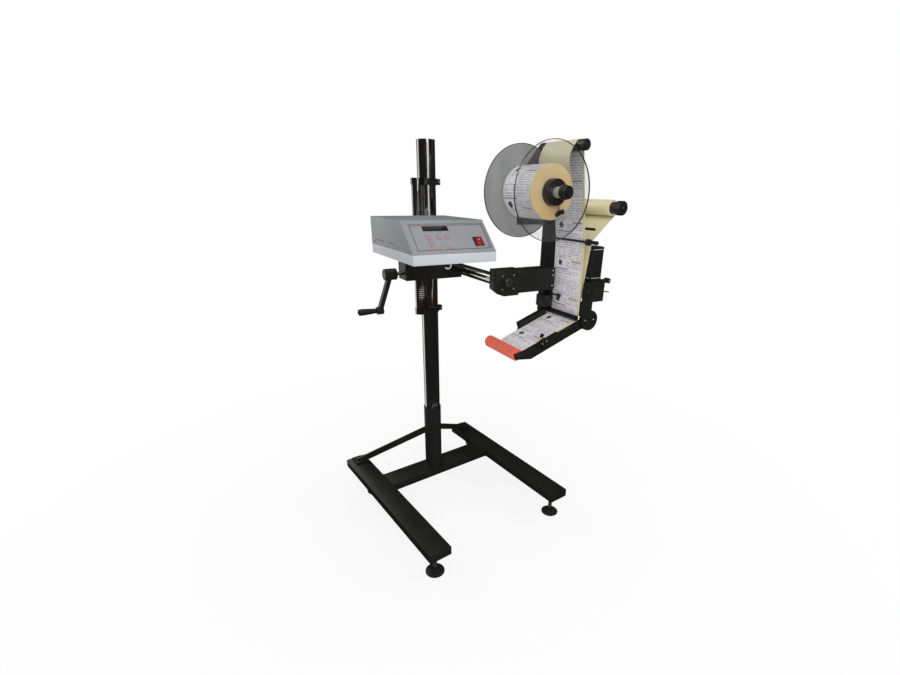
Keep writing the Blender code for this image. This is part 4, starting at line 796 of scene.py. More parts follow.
def together(parts):
    """One bmesh of several."""
    whole = bmesh.new()
    for part in parts:
        scrap = bpy.data.meshes.new("scrap")
        part.to_mesh(scrap)
        part.free()
        whole.from_mesh(scrap)
        bpy.data.meshes.remove(scrap)
    return whole


def cap_screw(radius):
    """Socket cap screw head, its seat at the origin."""
    height = radius * 0.85
    socket = radius * 0.52
    return spun([
        (0, height * 0.35), (socket, height * 0.35), (socket, height), (radius * 0.86, height),
        (radius, height * 0.82), (radius, 0), (0, 0)], SMALL_STEPS)


def pan_screw(radius):
    """Domed screw head with a cross recess."""
    head = spun([(0, radius * 0.5), (radius * 0.55, radius * 0.44), (radius * 0.86, radius * 0.26),
                 (radius, 0), (0, 0)], SMALL_STEPS)
    return head


def screws(name, kind, radius, places, direction, look, body):
    """One piece of like screws."""
    heads = [aimed(kind(radius), place, direction) for place in places]
    return piece(name, together(heads), look, body)


def swept(points, radius, closed=False, sides=8):
    """A round bead or rod that follows points."""
    curve = bpy.data.curves.new("sweep", "CURVE")
    curve.dimensions = "3D"
    curve.bevel_depth = radius
    curve.bevel_resolution = sides // 4
    curve.use_fill_caps = not closed
    line = curve.splines.new("POLY")
    line.points.add(len(points) - 1)
    for point, place in zip(line.points, points):
        point.co = (*place, 1.0)
    line.use_cyclic_u = closed
    holder = bpy.data.objects.new("sweep", curve)
    bpy.context.scene.collection.objects.link(holder)
    bpy.context.view_layer.update()
    mesh = bpy.data.meshes.new_from_object(holder)
    bm = bmesh.new()
    bm.from_mesh(mesh)
    bpy.data.objects.remove(holder)
    bpy.data.meshes.remove(mesh)
    bpy.data.curves.remove(curve)
    return bm


def landing(node, spot, normal):
    """Where a line through a spot, from outside, meets a CAD node."""
    mesh = NODES[node].data
    places = [vert.co for vert in mesh.vertices]
    tree = BVHTree.FromPolygons(places, [face.vertices for face in mesh.polygons])
    return tree.ray_cast(spot + normal * 0.1, -normal)[0]


def centre_of(node):
    low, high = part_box(node)
    return (low + high) / 2


def trim():
    return bpy.context.scene.applicator_trim


class ApplicatorOperator:
    """Common settings of the operators."""

    bl_options = {"REGISTER", "UNDO"}


class APPLICATOR_OT_stage(ApplicatorOperator, bpy.types.Operator):
    """Makes the floor, the lamps, the dark cards and the camera"""

    bl_idname = "applicator.stage"
    bl_label = "Stage"

    def execute(self, context):
        settings = context.scene.applicator_stage
        make_floor(settings)
        make_world(settings)
        make_lamps(settings)
        make_cards(settings)
        make_camera()
        context.scene.view_settings.view_transform = "Standard"
        return {"FINISHED"}


def seen_ray(look):
    """1 for a ray that the camera, a mirror or a glass sends."""
    path = look.node("ShaderNodeLightPath")
    outputs = path.socket.node.outputs
    rays = [Signal(look, outputs[name]) for name in
            ("Is Camera Ray", "Is Glossy Ray", "Is Transmission Ray")]
    return rays[0].either(rays[1]).either(rays[2])


FADE_FROM = 0.4
FADE_TO = 2.0
FLOOR_GLOW = 0.84


def make_floor(settings):
    look = Look("pale_floor")
    grain = look.noise(3.0, 3.0)
    colour = look.mix(grain, times(settings.floor_colour, 0.99), settings.floor_colour)
    plain = look.node("ShaderNodeBsdfDiffuse", {}, {"Color": colour})
    glow = look.node("ShaderNodeEmission", {}, {"Color": (1, 1, 1), "Strength": 1.0})
    x, y, _ = look.axes(look.place())
    far = look.node("ShaderNodeMapRange", {}, {0: (x * x + y * y).root(), 1: FADE_FROM, 2: FADE_TO,
                                               3: FLOOR_GLOW, 4: 1.0})
    look.end(look.node("ShaderNodeMixShader", {}, {0: seen_ray(look) * far, 1: plain, 2: glow}))
    bm = bmesh.new()
    bmesh.ops.create_grid(bm, x_segments=1, y_segments=1, size=settings.floor_size / 2)
    mesh = bpy.data.meshes.new("floor")
    bm.to_mesh(mesh)
    bm.free()
    mesh.materials.append(look.material)
    made = bpy.data.objects.new("floor", mesh)
    bpy.context.scene.collection.objects.link(made)


def make_world(settings):
    """White to the camera, to mirrors and through glass, and an even light to everything else."""
    world = bpy.data.worlds.new("studio")
    bpy.context.scene.world = world
    world.use_nodes = True
    tree = world.node_tree
    path = tree.nodes.new("ShaderNodeLightPath")
    direct = tree.nodes.new("ShaderNodeMath")
    direct.operation = "MAXIMUM"
    tree.links.new(path.outputs["Is Camera Ray"], direct.inputs[0])
    tree.links.new(path.outputs["Is Glossy Ray"], direct.inputs[1])
    both = tree.nodes.new("ShaderNodeMath")
    both.operation = "MAXIMUM"
    tree.links.new(direct.outputs[0], both.inputs[0])
    tree.links.new(path.outputs["Is Transmission Ray"], both.inputs[1])
    strength = tree.nodes.new("ShaderNodeMapRange")
    strength.inputs["To Min"].default_value = settings.room_light
    strength.inputs["To Max"].default_value = 1.0
    tree.links.new(both.outputs[0], strength.inputs["Value"])
    background = tree.nodes["Background"]
    background.inputs["Color"].default_value = (1, 1, 1, 1)
    tree.links.new(strength.outputs[0], background.inputs["Strength"])


def make_lamps(settings):
    aim = Vector((0, -0.1, 0.9))
    lamps = (
        ("key_lamp", (-1.2, -3.5, 3.0), 2.6, settings.key_power),
        ("fill_lamp", (3.2, -1.4, 2.4), 2.2, settings.fill_power),
        ("back_lamp", (-1.6, 3.2, 3.0), 2.2, settings.back_power),
    )
    for name, place, size, power in lamps:
        lamp = bpy.data.lights.new(name, "AREA")
        lamp.shape = "SQUARE"
        lamp.size = size
        lamp.energy = power
        holder = bpy.data.objects.new(name, lamp)
        bpy.context.scene.collection.objects.link(holder)
        holder.location = place
        holder.rotation_euler = (aim - Vector(place)).to_track_quat("-Z", "Y").to_euler()


# Dark cards: start and sweep in degrees, then both edges as (share of the ring's radius, height).
# The gaps are the chrome's bright bands, and the last card hides the floor from the chrome.
CARD_SPANS = (
    (-78.0, 190.0, (1.0, 0.004), (1.0, 2.62)),
    (140.0, 113.0, (1.0, 0.004), (1.0, 2.62)),
    (-107.0, 29.0, (1.0, 0.004), (1.0, 1.12)),
    (-180.0, 360.0, (0.02, 0.004), (1.0, 0.004)),
)


def make_cards(settings):
    """Dark cards in a ring, seen only by mirrors, so that the chrome shows dark and bright bands."""
    look = Look("dark_card")
    look.end(look.node("ShaderNodeBsdfDiffuse", {}, {"Color": (0.030, 0.029, 0.024)}))
    for index, (start, sweep, low, high) in enumerate(CARD_SPANS):
        bm = bmesh.new()
        turn = Matrix.Rotation(math.radians(start), 4, "Z")
        ends = [Vector((settings.card_distance * share, 0, z)) for share, z in (low, high)]
        verts = [bm.verts.new(turn @ end) for end in ends]
        line = bm.edges.new(verts)
        bmesh.ops.spin(bm, geom=verts + [line], cent=(0, 0, 0), axis=(0, 0, 1),
                       angle=math.radians(sweep), steps=24)
        mesh = bpy.data.meshes.new(f"dark_card_{index + 1}")
        bm.to_mesh(mesh)
        bm.free()
        mesh.materials.append(look.material)
        card = bpy.data.objects.new(mesh.name, mesh)
        bpy.context.scene.collection.objects.link(card)
        card.visible_camera = False
        card.visible_diffuse = False
        card.visible_shadow = False
        card.visible_transmission = False


def make_camera():
    camera = bpy.data.cameras.new("photo_camera")
    camera.sensor_width = CAMERA_SENSOR
    camera.lens = CAMERA_LENS
    camera.shift_x, camera.shift_y = CAMERA_SHIFT
    holder = bpy.data.objects.new("photo_camera", camera)
    bpy.context.scene.collection.objects.link(holder)
    turn = Matrix.Rotation(-CAMERA_HEADING, 4, "Z") @ Matrix.Rotation(math.pi / 2 - CAMERA_PITCH, 4, "X")
    holder.matrix_world = Matrix.Translation(CAMERA_PLACE) @ turn @ Matrix.Rotation(CAMERA_ROLL, 4, "Z")
    bpy.context.scene.camera = holder


WELD_SEARCH = 0.06


class APPLICATOR_OT_stand(ApplicatorOperator, bpy.types.Operator):
    """Dresses the welded floor stand and its feet"""

    bl_idname = "applicator.stand"
    bl_label = "Stand"

    def execute(self, context):
        paint = finish(black_paint)
        for node in ("left_rail", "right_rail", "cross_beam", "column_socket", "brace_left", "brace_right"):
            dress(node, paint)
        for node in NODES:
            if node.startswith("foot_"):
                dress(node, finish(foot_mix))
        low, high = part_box("column_socket")
        centre = (low + high) / 2
        radius = (high.x - low.x) / 2
        ring = [(centre.x + radius * math.cos(a), centre.y + radius * math.sin(a), low.z)
                for a in (math.tau * i / ROUND_STEPS for i in range(ROUND_STEPS))]
        piece("socket_weld", swept(ring, trim().weld_radius, True), paint, "stand")
        beam_welds(paint)
        set_screws(centre, radius, high.z)
        return {"FINISHED"}


def beam_welds(paint):
    """Upright weld beads where the cross beam meets the rails."""
    low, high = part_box("cross_beam")
    places = [vert.co for vert in NODES["cross_beam"].data.vertices]
    for side, end in (("left", low.x), ("right", high.x)):
        near = [co for co in places if abs(co.x - end) < WELD_SEARCH]
        beads = []
        for corner in (min(near, key=lambda co: co.y), max(near, key=lambda co: co.y)):
            line = [(corner.x, corner.y, low.z), (corner.x, corner.y, high.z)]
            beads.append(swept(line, trim().weld_radius))
        piece(f"beam_welds_{side}", together(beads), paint, "stand")


def set_screws(centre, radius, top):
    """Two socket set screws near the top of the column's socket."""
    for index, angle in enumerate((math.radians(-60.0), math.radians(210.0))):
        out = Vector((math.cos(angle), math.sin(angle), 0))
        place = Vector((centre.x, centre.y, top - 0.022)) + out * (radius - 0.0006)
        head = aimed(cap_screw(trim().screw_radius), place, out)
        piece(f"socket_screw_{index + 1}", head, finish(dark_steel), "stand")


class APPLICATOR_OT_column(ApplicatorOperator, bpy.types.Operator):
    """Dresses the chrome column, the rack tube and its collars"""

    bl_idname = "applicator.column"
    bl_label = "Column"

    def execute(self, context):
        for node in ("column_tube", "rack_tube", "collar_lower", "collar_upper"):
            dress(node, finish(chrome))
        low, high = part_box("column_tube")
        centre = (low + high) / 2
        inner = (high.x - low.x) / 2 - 0.0044
        plug = spun([(0, 0), (inner, 0), (inner, 0.010), (inner - 0.001, 0.0112), (inner - 0.006, 0.0112),
                     (inner - 0.008, 0.0098), (0, 0.0098)])
        piece("column_plug", aimed(plug, (centre.x, centre.y, high.z - 0.0135)), finish(black_plastic),
              "column")
        for node in ("collar_lower", "collar_upper"):
            collar_lug(node, centre)
        return {"FINISHED"}


def collar_lug(node, column):
    """The split lug and the socket screw that clamp a collar."""
    low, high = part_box(node)
    middle = (low.z + high.z) / 2
    edge = high.x
    lugs = [box_between((edge - 0.003, column.y + side * 0.0012, low.z + 0.001),
                        (edge + 0.0135, column.y + side * 0.0092, high.z - 0.001), 0.0008)
            for side in (-1, 1)]
    piece(f"{node}_lug", together(lugs), finish(cast_black), "column")
    place = (edge + 0.0075, column.y - 0.0090, middle)
    piece(f"{node}_screw", aimed(cap_screw(0.0042), place, (0, -1, 0)), finish(bright_metal), "column")


class APPLICATOR_OT_carriage(ApplicatorOperator, bpy.types.Operator):
    """Dresses the carriage and its pinion drive"""

    bl_idname = "applicator.carriage"
    bl_label = "Carriage"

    def execute(self, context):
        dress("carriage_block", finish(cast_black))
        dress("box_bracket", finish(black_paint), 0.0006)
        dress("pinion_gear", finish(dark_steel))
        dress("crank_shaft", finish(steel, "X"))
        low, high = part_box("carriage_block")
        inset = 0.013
        front = Vector((0, -1, 0))
        corners = [landing("carriage_block", Vector((x, low.y, z)), front)
                   for x in (low.x + inset, high.x - inset) for z in (low.z + inset, high.z - inset)]
        screws("carriage_screws", cap_screw, trim().screw_radius, corners, (0, -1, 0),
               finish(dark_steel), "carriage")
        cable_clip()
        return {"FINISHED"}


def cable_clip():
    """The white plastic clip under the control box's front edge."""
    low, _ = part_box("control_base")
    centre = Vector((low.x + 0.126, low.y + 0.058, low.z - 0.0115))
    arc = [centre + Vector((math.sin(a) * 0.0095, 0, math.cos(a) * 0.0095))
           for a in (math.radians(step) for step in range(-20, 250, 15))]
    band = together([swept(arc, 0.0021), box_between(arc[0] + Vector((-0.004, -0.004, -0.001)),
                                                     arc[0] + Vector((0.004, 0.004, 0.0026)), 0.0006)])
    piece("cable_clip", band, finish(white_mark), "carriage")


class APPLICATOR_OT_control_box(ApplicatorOperator, bpy.types.Operator):
    """Dresses the control box, its panel, keys and switch"""

    bl_idname = "applicator.control_box"
    bl_label = "Control box"

    def execute(self, context):
        dress("control_base", finish(grey_paint, "band"), 0.0007)
        dress("control_cover", finish(grey_paint, "cover"))
        dress("control_panel", finish(panel_foil))
        dress("display_window", finish(display_glass), 0.0002)
        for index in range(1, 8):
            shade = "green" if index == 6 else "pale"
            dress(f"key_{index}", finish(key_cap, shade))
            key_marks(index)
        dress("rocker_switch", finish(red_plastic))
        rocker_marks()
        panel_fittings()
        louvre_lips()
        side_fittings()
        return {"FINISHED"}


KEY_HALF = 0.00625
KEY_MARK_LIFT = 0.00005


def panel_frame(place):
    """Matrix that stands a flat shape on the panel: x to the right, y up the slope."""
    slope, _ = panel_place()
    return Matrix.Translation(place) @ Matrix.Rotation(slope, 4, "X")


# Turn of each key's arrow in degrees, from the first key to the last
KEY_TURNS = (0, 90, 180, 90, 0, 0, 180)
KEY_LINE = 0.0013
KEY_ARROW = 0.0025
INK_THICK = 0.00012


def key_marks(index):
    """The red outline and the arrow on a key."""
    low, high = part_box(f"key_{index}")
    slope, _ = panel_place()
    centre = (low + high) / 2
    bm = bmesh.new()
    bmesh.ops.create_grid(bm, x_segments=1, y_segments=1, size=KEY_HALF * 0.94)
    ring = bmesh.ops.inset_region(
        bm, faces=bm.faces[:], thickness=KEY_LINE, use_boundary=True, use_even_offset=True)
    inner = [face for face in bm.faces if face not in ring["faces"]]
    bmesh.ops.delete(bm, geom=inner, context="FACES")
    turn = math.radians(KEY_TURNS[index - 1])
    arrow = bmesh.new()
    bmesh.ops.create_circle(arrow, cap_ends=True, radius=KEY_ARROW, segments=3)
    bmesh.ops.rotate(arrow, matrix=Matrix.Rotation(turn, 3, "Z"), verts=arrow.verts)
    marks = together([bm, arrow])
    bmesh.ops.solidify(marks, geom=marks.faces[:], thickness=-INK_THICK)
    top = max((vert.co.z for vert in marks.verts))
    bmesh.ops.translate(marks, verts=marks.verts, vec=(0, 0, KEY_MARK_LIFT - top))
    normal = Vector((0, -math.sin(slope), math.cos(slope)))
    lift = max((NODES[f"key_{index}"].data.vertices[i].co - centre).dot(normal)
               for i in range(len(NODES[f"key_{index}"].data.vertices)))
    bmesh.ops.transform(marks, matrix=panel_frame(centre + normal * lift), verts=marks.verts)
    piece(f"key_{index}_mark", marks, finish(key_ink), f"key_{index}")


def rocker_marks():
    """The line and the ring of an on-off switch."""
    low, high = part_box("rocker_switch")
    centre = (low + high) / 2
    slope, _ = panel_place()
    normal = Vector((0, -math.sin(slope), math.cos(slope)))
    along = Vector((0, math.cos(slope), math.sin(slope)))
    line = block((0.0010, 0.0045, 0.0003), 0.0001)
    ring = spun([(0.0017, 0), (0.0025, 0), (0.0025, 0.0003), (0.0017, 0.0003)], SMALL_STEPS, True)
    parts = []
    for shape, side in ((line, -1), (ring, 1)):
        spot = landing("rocker_switch", centre + along * side * 0.0055, normal)
        bmesh.ops.transform(shape, matrix=panel_frame(spot - normal * 0.0001), verts=shape.verts)
        parts.append(shape)
    piece("rocker_marks", together(parts), finish(white_mark), "rocker")


def panel_fittings():
    """Panel screws, the small lamp and the bezel of the display."""
    slope, _ = panel_place()
    normal = (0, -math.sin(slope), math.cos(slope))
    places = [on_panel(x, up, 0.0001) for x in (0.0092, 0.2402) for up in (0.0150, 0.1025)]
    screws("panel_screws", pan_screw, 0.0024, places, normal, finish(bright_metal), "carriage")
    lamp = aimed(spun([(0, 0.0016), (0.0008, 0.0014), (0.0014, 0.0008), (0.0016, 0), (0, 0)], SMALL_STEPS),
                 on_panel(0.2275, 0.0185, 0.0012), normal)
    piece("panel_lamp", lamp, finish(red_plastic), "carriage")


VENT_PLACES = ((-0.1661, -0.1011), (-0.2531, -0.2071))
VENT_MIDDLE = 1.143


def louvre_lips():
    """A folded lip inside each vent of the cover's left side. Its pale paint is a painted highlight that
    stands for the glint in each vent.
    """
    low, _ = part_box("control_cover")
    lips = []
    for start, end in VENT_PLACES:
        lips.append(box_between((low.x - 0.0004, start + 0.004, VENT_MIDDLE - 0.0016),
                                (low.x + 0.0010, end - 0.002, VENT_MIDDLE + 0.0002), 0.0003))
    # The lips' pale paint is a painted highlight in the vents, not the cover's own colour.
    piece("louvre_lips", together(lips), finish(grey_paint, "band"), "carriage")


def side_fittings():
    """Screws on the cover's sides."""
    low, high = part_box("control_cover")
    z = low.z + 0.0085
    for side, x, direction in (("left", low.x, -1), ("right", high.x, 1)):
        places = [(x, low.y + share * (high.y - low.y), z) for share in (0.33, 0.92)]
        screws(f"cover_screws_{side}", pan_screw, 0.0030, places, (direction, 0, 0),
               finish(bright_metal), "carriage")


class APPLICATOR_OT_crank(ApplicatorOperator, bpy.types.Operator):
    """Dresses the hand crank"""

    bl_idname = "applicator.crank"
    bl_label = "Crank"

    def execute(self, context):
        dress("crank_arm", finish(cast_black))
        dress("crank_grip", finish(black_plastic))
        return {"FINISHED"}


class APPLICATOR_OT_arm(ApplicatorOperator, bpy.types.Operator):
    """Dresses the chrome arm and the clamp block at its end"""

    bl_idname = "applicator.arm"
    bl_label = "Arm"

    def execute(self, context):
        dress("arm_rod", finish(chrome))
        dress("clamp_block", finish(cast_black), 0.0005)
        dress("bracket_plate", finish(black_paint), 0.0008)
        clamp_fittings()
        return {"FINISHED"}


def clamp_fittings():
    """The four screws of the clamp's square cover, the steel washer in the middle of the clamp and the bright
    ridges on the washer.
    """
    low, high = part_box("clamp_block")
    centre = Vector(((low.x + high.x) / 2, low.y, (low.z + high.z) / 2 + 0.002))
    corners = [centre + Vector((x, 0, z)) for x in (-0.021, 0.021) for z in (-0.021, 0.021)]
    screws("clamp_screws", cap_screw, 0.0032, corners, (0, -1, 0), finish(bright_metal), "head")
    cover = spun([(0, 0.007), (0.0125, 0.007), (0.0140, 0.0055), (0.0140, 0), (0, 0)])
    piece("clamp_cover", aimed(cover, centre, (0, -1, 0)), finish(dark_steel), "head")
    ridges = []
    for index in range(5):
        ridge = block((0.0175 - 0.0022 * abs(index - 2), 0.0020, 0.0014), 0.0004)
        bmesh.ops.rotate(ridge, matrix=Matrix.Rotation(math.radians(-28.0), 3, "Z"), verts=ridge.verts)
        rise = (index - 2) * 0.0042
        shift = Vector((math.sin(math.radians(28.0)) * rise, math.cos(math.radians(28.0)) * rise, 0.0074))
        bmesh.ops.translate(ridge, verts=ridge.verts, vec=shift)
        ridges.append(ridge)
    piece("clamp_ridges", aimed(together(ridges), centre, (0, -1, 0)), finish(bright_metal), "head")


class APPLICATOR_OT_head_frame(ApplicatorOperator, bpy.types.Operator):
    """Dresses the head's bars, plates, guide rod and sensor"""

    bl_idname = "applicator.head_frame"
    bl_label = "Head frame"

    def execute(self, context):
        for node, edge in (("main_bar", 0.0006), ("back_plate", 0.0004), ("front_plate", 0.0),
                           ("spool_arm", 0.0006), ("rewind_bracket", 0.0), ("gearbox", 0.0005)):
            dress(node, finish(black_paint), edge)
        dress("sensor_box", finish(black_plastic), 0.0004)
        dress("guide_rod", finish(dark_steel))
        dress("drive_motor", finish(black_plastic))
        bar_screws()
        bar_plates()
        motor_fittings()
        drive_lever()
        return {"FINISHED"}


BAR_SCREW_X = 0.2400
BAR_FRONT = -0.2050
GUIDE_X = 0.2624
BAR_SCREW_HEIGHTS = (0.988, 1.024, 1.039)


def bar_screws():
    """Bright screws beside the label web, and bolts behind the bar and at the foot of the spool arm."""
    for index, height in enumerate(BAR_SCREW_HEIGHTS):
        spot = landing("bracket_plate", Vector((BAR_SCREW_X, -0.30, height)), Vector((0, -1, 0)))
        head = aimed(pan_screw(0.0030), spot, (0, -1, 0))
        piece(f"bar_screw_{index + 1}", head, finish(bright_metal), "head")
    low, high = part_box("main_bar")
    backs = [((low.x + high.x) / 2, high.y, z) for z in (0.990, 1.032, 1.165, 1.215)]
    screws("bar_bolts", cap_screw, trim().screw_radius, backs, (0, 1, 0), finish(dark_steel), "head")
    arm_low, arm_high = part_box("spool_arm")
    places = [(arm_high.x - 0.012, arm_low.y, arm_low.z + rise) for rise in (0.018, 0.050)]
    screws("spool_arm_screws", cap_screw, trim().screw_radius, places, (0, -1, 0), finish(dark_steel), "head")


def bar_plates():
    """The foot block under the main bar and the thin guide behind the web's lower end."""
    low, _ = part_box("main_bar")
    back_low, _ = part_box("back_plate")
    foot = box_between((low.x + 0.0005, BAR_FRONT, low.z - 0.021), (low.x + 0.0215, BAR_FRONT + 0.041, low.z),
                       0.0006)
    piece("bar_foot", foot, finish(black_paint), "head")
    front_low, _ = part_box("front_plate")
    guide = box_between((GUIDE_X, front_low.y + 0.0006, low.z + 0.002),
                        (GUIDE_X + 0.0010, back_low.y - 0.0006, low.z + 0.047), 0.0003)
    piece("web_guide", guide, finish(black_paint), "head")


def motor_fittings():
    """End flanges, tie posts and screws of the motor, and the bearing ring in the front plate."""
    low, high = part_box("drive_motor")
    centre = (low + high) / 2
    size = high.x - low.x
    flanges = []
    for z in (low.z + 0.0035, high.z - 0.0040):
        flanges.append(aimed(block((size + 0.0030, size + 0.0030, 0.0060), 0.0014), (centre.x, centre.y, z)))
    inset = 0.0015
    corners = [(x, y) for x in (low.x + inset, high.x - inset) for y in (low.y + inset, high.y - inset)]
    for x, y in corners:
        flanges.append(aimed(rod(0.0030, high.z - low.z - 0.008, 0.0002), (x, y, low.z + 0.004)))
    piece("motor_frame", together(flanges), finish(cast_black), "head")
    # Pale seams at both ends of the motor's body: these are real seams, and their pale paint is also a
    # painted highlight along the motor's top and lower edges.
    seams = [aimed(block((size + 0.0010, size + 0.0010, 0.0018), 0.0003), (centre.x, centre.y, z))
             for z in (low.z + 0.0082, high.z - 0.0086)]
    piece("motor_seams", together(seams), finish(grey_paint, "band"), "head")
    inset = 0.0055
    places = [(x, y, high.z - 0.0012) for x in (low.x + inset, high.x - inset)
              for y in (low.y + inset, high.y - inset)]
    screws("motor_screws", pan_screw, 0.0026, places, (0, 0, 1), finish(bright_metal), "head")
    roller = centre_of("drive_roller")
    plate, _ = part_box("front_plate")
    ring = spun([(0.0085, 0), (0.0150, 0), (0.0150, 0.0030), (0.0140, 0.0040), (0.0085, 0.0040)],
                ROUND_STEPS, True)
    piece("bearing_ring", aimed(ring, (roller.x, plate.y, roller.z), (0, -1, 0)), finish(cast_black), "head")


def drive_lever():
    """The pressure lever on the gearbox: an arm with a round end, its pin and the thin release rod."""
    low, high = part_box("gearbox")
    y = low.y + 0.013
    start = Vector((high.x - 0.012, y, high.z - 0.004))
    end = Vector((high.x + 0.030, y, high.z - 0.003))
    arm = block((end.x - start.x, 0.014, 0.012), 0.0016)
    bmesh.ops.translate(arm, verts=arm.verts, vec=(start + end) / 2)
    boss = aimed(rod(0.0085, 0.020, 0.0012), end + Vector((0, 0.010, 0)), (0, -1, 0))
    piece("drive_lever", together([arm, boss]), finish(cast_black), "head")
    pin = aimed(cap_screw(0.0042), end + Vector((0, -0.0100, 0)), (0, -1, 0))
    piece("drive_lever_pin", pin, finish(bright_metal), "head")
    release = Vector((high.x - 0.001, low.y + 0.010, low.z + 0.030))
    collar = aimed(rod(0.0060, 0.012, 0.0010), release, (1, 0, 0))
    piece("release_collar", collar, finish(dark_steel), "head")
    stem = aimed(rod(0.0018, 0.042, 0.0004), release, (1, 0, -0.16))
    piece("release_rod", stem, finish(steel, "X"), "head")


class APPLICATOR_OT_spool(ApplicatorOperator, bpy.types.Operator):
    """Dresses the label roll between its clear discs"""

    bl_idname = "applicator.spool"
    bl_label = "Spool"

    def execute(self, context):
        dress("spool_spindle", finish(spindle_mix))
        dress("spool_hub", finish(black_plastic))
        for node in ("disc_rear", "disc_front"):
            dress(node, finish(clear_disc, node))
            rim_of(node)
        label_roll()
        wing_screw()
        return {"FINISHED"}


def rim_of(node):
    """The dark polished edge of a disc."""
    low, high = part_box(node)
    centre = (low + high) / 2
    radius = (high.x - low.x) / 2
    width = high.y - low.y
    profile = [(radius - 0.0012, -0.0001), (radius + 0.0002, 0.0006), (radius + 0.0002, width - 0.0006),
               (radius - 0.0012, width + 0.0001)]
    rim = aimed(spun(profile, 96, True), (centre.x, low.y, centre.z), (0, 1, 0))
    piece(f"{node}_rim", rim, finish(disc_rim), BODY_OF[node])


def label_roll():
    """The wound roll: printed round the outside, paper edges on its sides."""
    low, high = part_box("label_roll")
    centre = (low + high) / 2
    radius = (high.x - low.x) / 2
    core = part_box("spool_hub")
    core_radius = (core[1].x - core[0].x) / 2 + 0.0023
    width = high.y - low.y
    profile = [(core_radius, 0), (radius - 0.0006, 0), (radius, 0.0004), (radius, width - 0.0004),
               (radius - 0.0006, width), (core_radius, width)]
    bm = aimed(spun(profile, 128, True), (centre.x, low.y, centre.z), (0, 1, 0))
    uv = bm.loops.layers.uv.new("UVMap")
    for face in bm.faces:
        middle = face.calc_center_median() - centre
        reach = math.hypot(middle.x, middle.z)
        face.material_index = 0 if reach > radius - 0.0008 else 1
        heading = math.atan2(middle.z, middle.x)
        for loop in face.loops:
            spot = loop.vert.co - centre
            turn = math.atan2(spot.z, spot.x) - heading
            turn = (turn + math.pi) % math.tau - math.pi
            loop[uv].uv = ((heading + turn) * radius, high.y - loop.vert.co.y)
    piece("label_roll_wound", bm, [finish(printed_paper), finish(roll_side)], "spool", "label_roll")
    core_ring = spun([(core_radius - 0.0020, -0.0004), (core_radius + 0.0004, -0.0004),
                      (core_radius + 0.0004, width + 0.0004), (core_radius - 0.0020, width + 0.0004)],
                     ROUND_STEPS, True)
    sleeve = aimed(core_ring, (centre.x, low.y, centre.z), (0, 1, 0))
    piece("label_roll_core", sleeve, finish(cardboard), "spool")


def wing_screw():
    """The wing screw that clamps the hub on its spindle."""
    low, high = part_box("spool_hub")
    centre = (low + high) / 2
    radius = (high.x - low.x) / 2
    out = Vector((math.sin(math.radians(20.0)), 0, -math.cos(math.radians(20.0))))
    start = Vector((centre.x, low.y + 0.0065, centre.z)) + out * (radius - 0.004)
    stem = aimed(rod(0.0026, 0.024, 0.0003), start, out)
    piece("wing_screw_stem", stem, finish(bright_metal), "spool")
    head = start + out * 0.019
    hub = rod(0.0066, 0.011, 0.0010)
    wings = []
    for side in (-1, 1):
        wing = block((0.0145, 0.0044, 0.0120), 0.0015, 3)
        bmesh.ops.translate(wing, verts=wing.verts, vec=(side * 0.0085, 0, 0.0082))
        wings.append(wing)
    whole = together([hub, *wings])
    piece("wing_screw_head", aimed(whole, head, out), finish(black_plastic), "spool")


class APPLICATOR_OT_webs(ApplicatorOperator, bpy.types.Operator):
    """Dresses the label web and the liner"""

    bl_idname = "applicator.webs"
    bl_label = "Webs"

    def execute(self, context):
        roller = centre_of("top_roller")
        web("label_web", (roller.x, roller.z))
        table = centre_of("table_web")
        web("table_web", (table.x - 0.1, table.z + 0.3))
        web("liner_web", None)
        peeled_label()
        return {"FINISHED"}


def web(node, label_side):
    """A paper web. Its UV runs along the paper and across it, both in metres.

    label_side is a point on the side that carries the labels, as (x, z), or None for bare liner.
    """
    bm = merged(node)
    _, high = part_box(node)
    cap = max((face for face in bm.faces if abs(face.normal.y) > 0.9), key=lambda face: len(face.verts))
    outline = [vert.co.copy() for vert in cap.verts]
    count = len(outline)
    half = count // 2
    gaps = [(outline[i] - outline[(i + 1) % count]).length for i in range(count)]
    start = min(range(half), key=lambda i: gaps[i] + gaps[i + half])
    one = [outline[(start + 1 + i) % count] for i in range(half)]
    other = [outline[(start - i) % count] for i in range(half)]
    run = 0.0
    along = {}
    side_of = {}
    for i in range(half):
        if i:
            run += (one[i] - one[i - 1]).length
        for side, points in enumerate((one, other)):
            key = (round(points[i].x, 6), round(points[i].z, 6))
            along[key] = run
            side_of[key] = side
    printed = None
    if label_side:
        near = [min(math.dist((co.x, co.z), label_side) for co in points) for points in (one, other)]
        printed = near.index(min(near))
    uv = bm.loops.layers.uv.new("UVMap")
    for face in bm.faces:
        sides = {side_of[(round(vert.co.x, 6), round(vert.co.z, 6))] for vert in face.verts}
        face.material_index = 1 if sides == {printed} else 0
        for loop in face.loops:
            co = loop.vert.co
            loop[uv].uv = (along[(round(co.x, 6), round(co.z, 6))], high.y - co.y)
    looks = [finish(liner_paper), finish(printed_paper)]
    piece(f"{node}_paper", bm, looks, BODY_OF[node], node, outward=False)


PEEL_WIDTH_SHARE = 0.93
LABEL_THICK = 0.0003


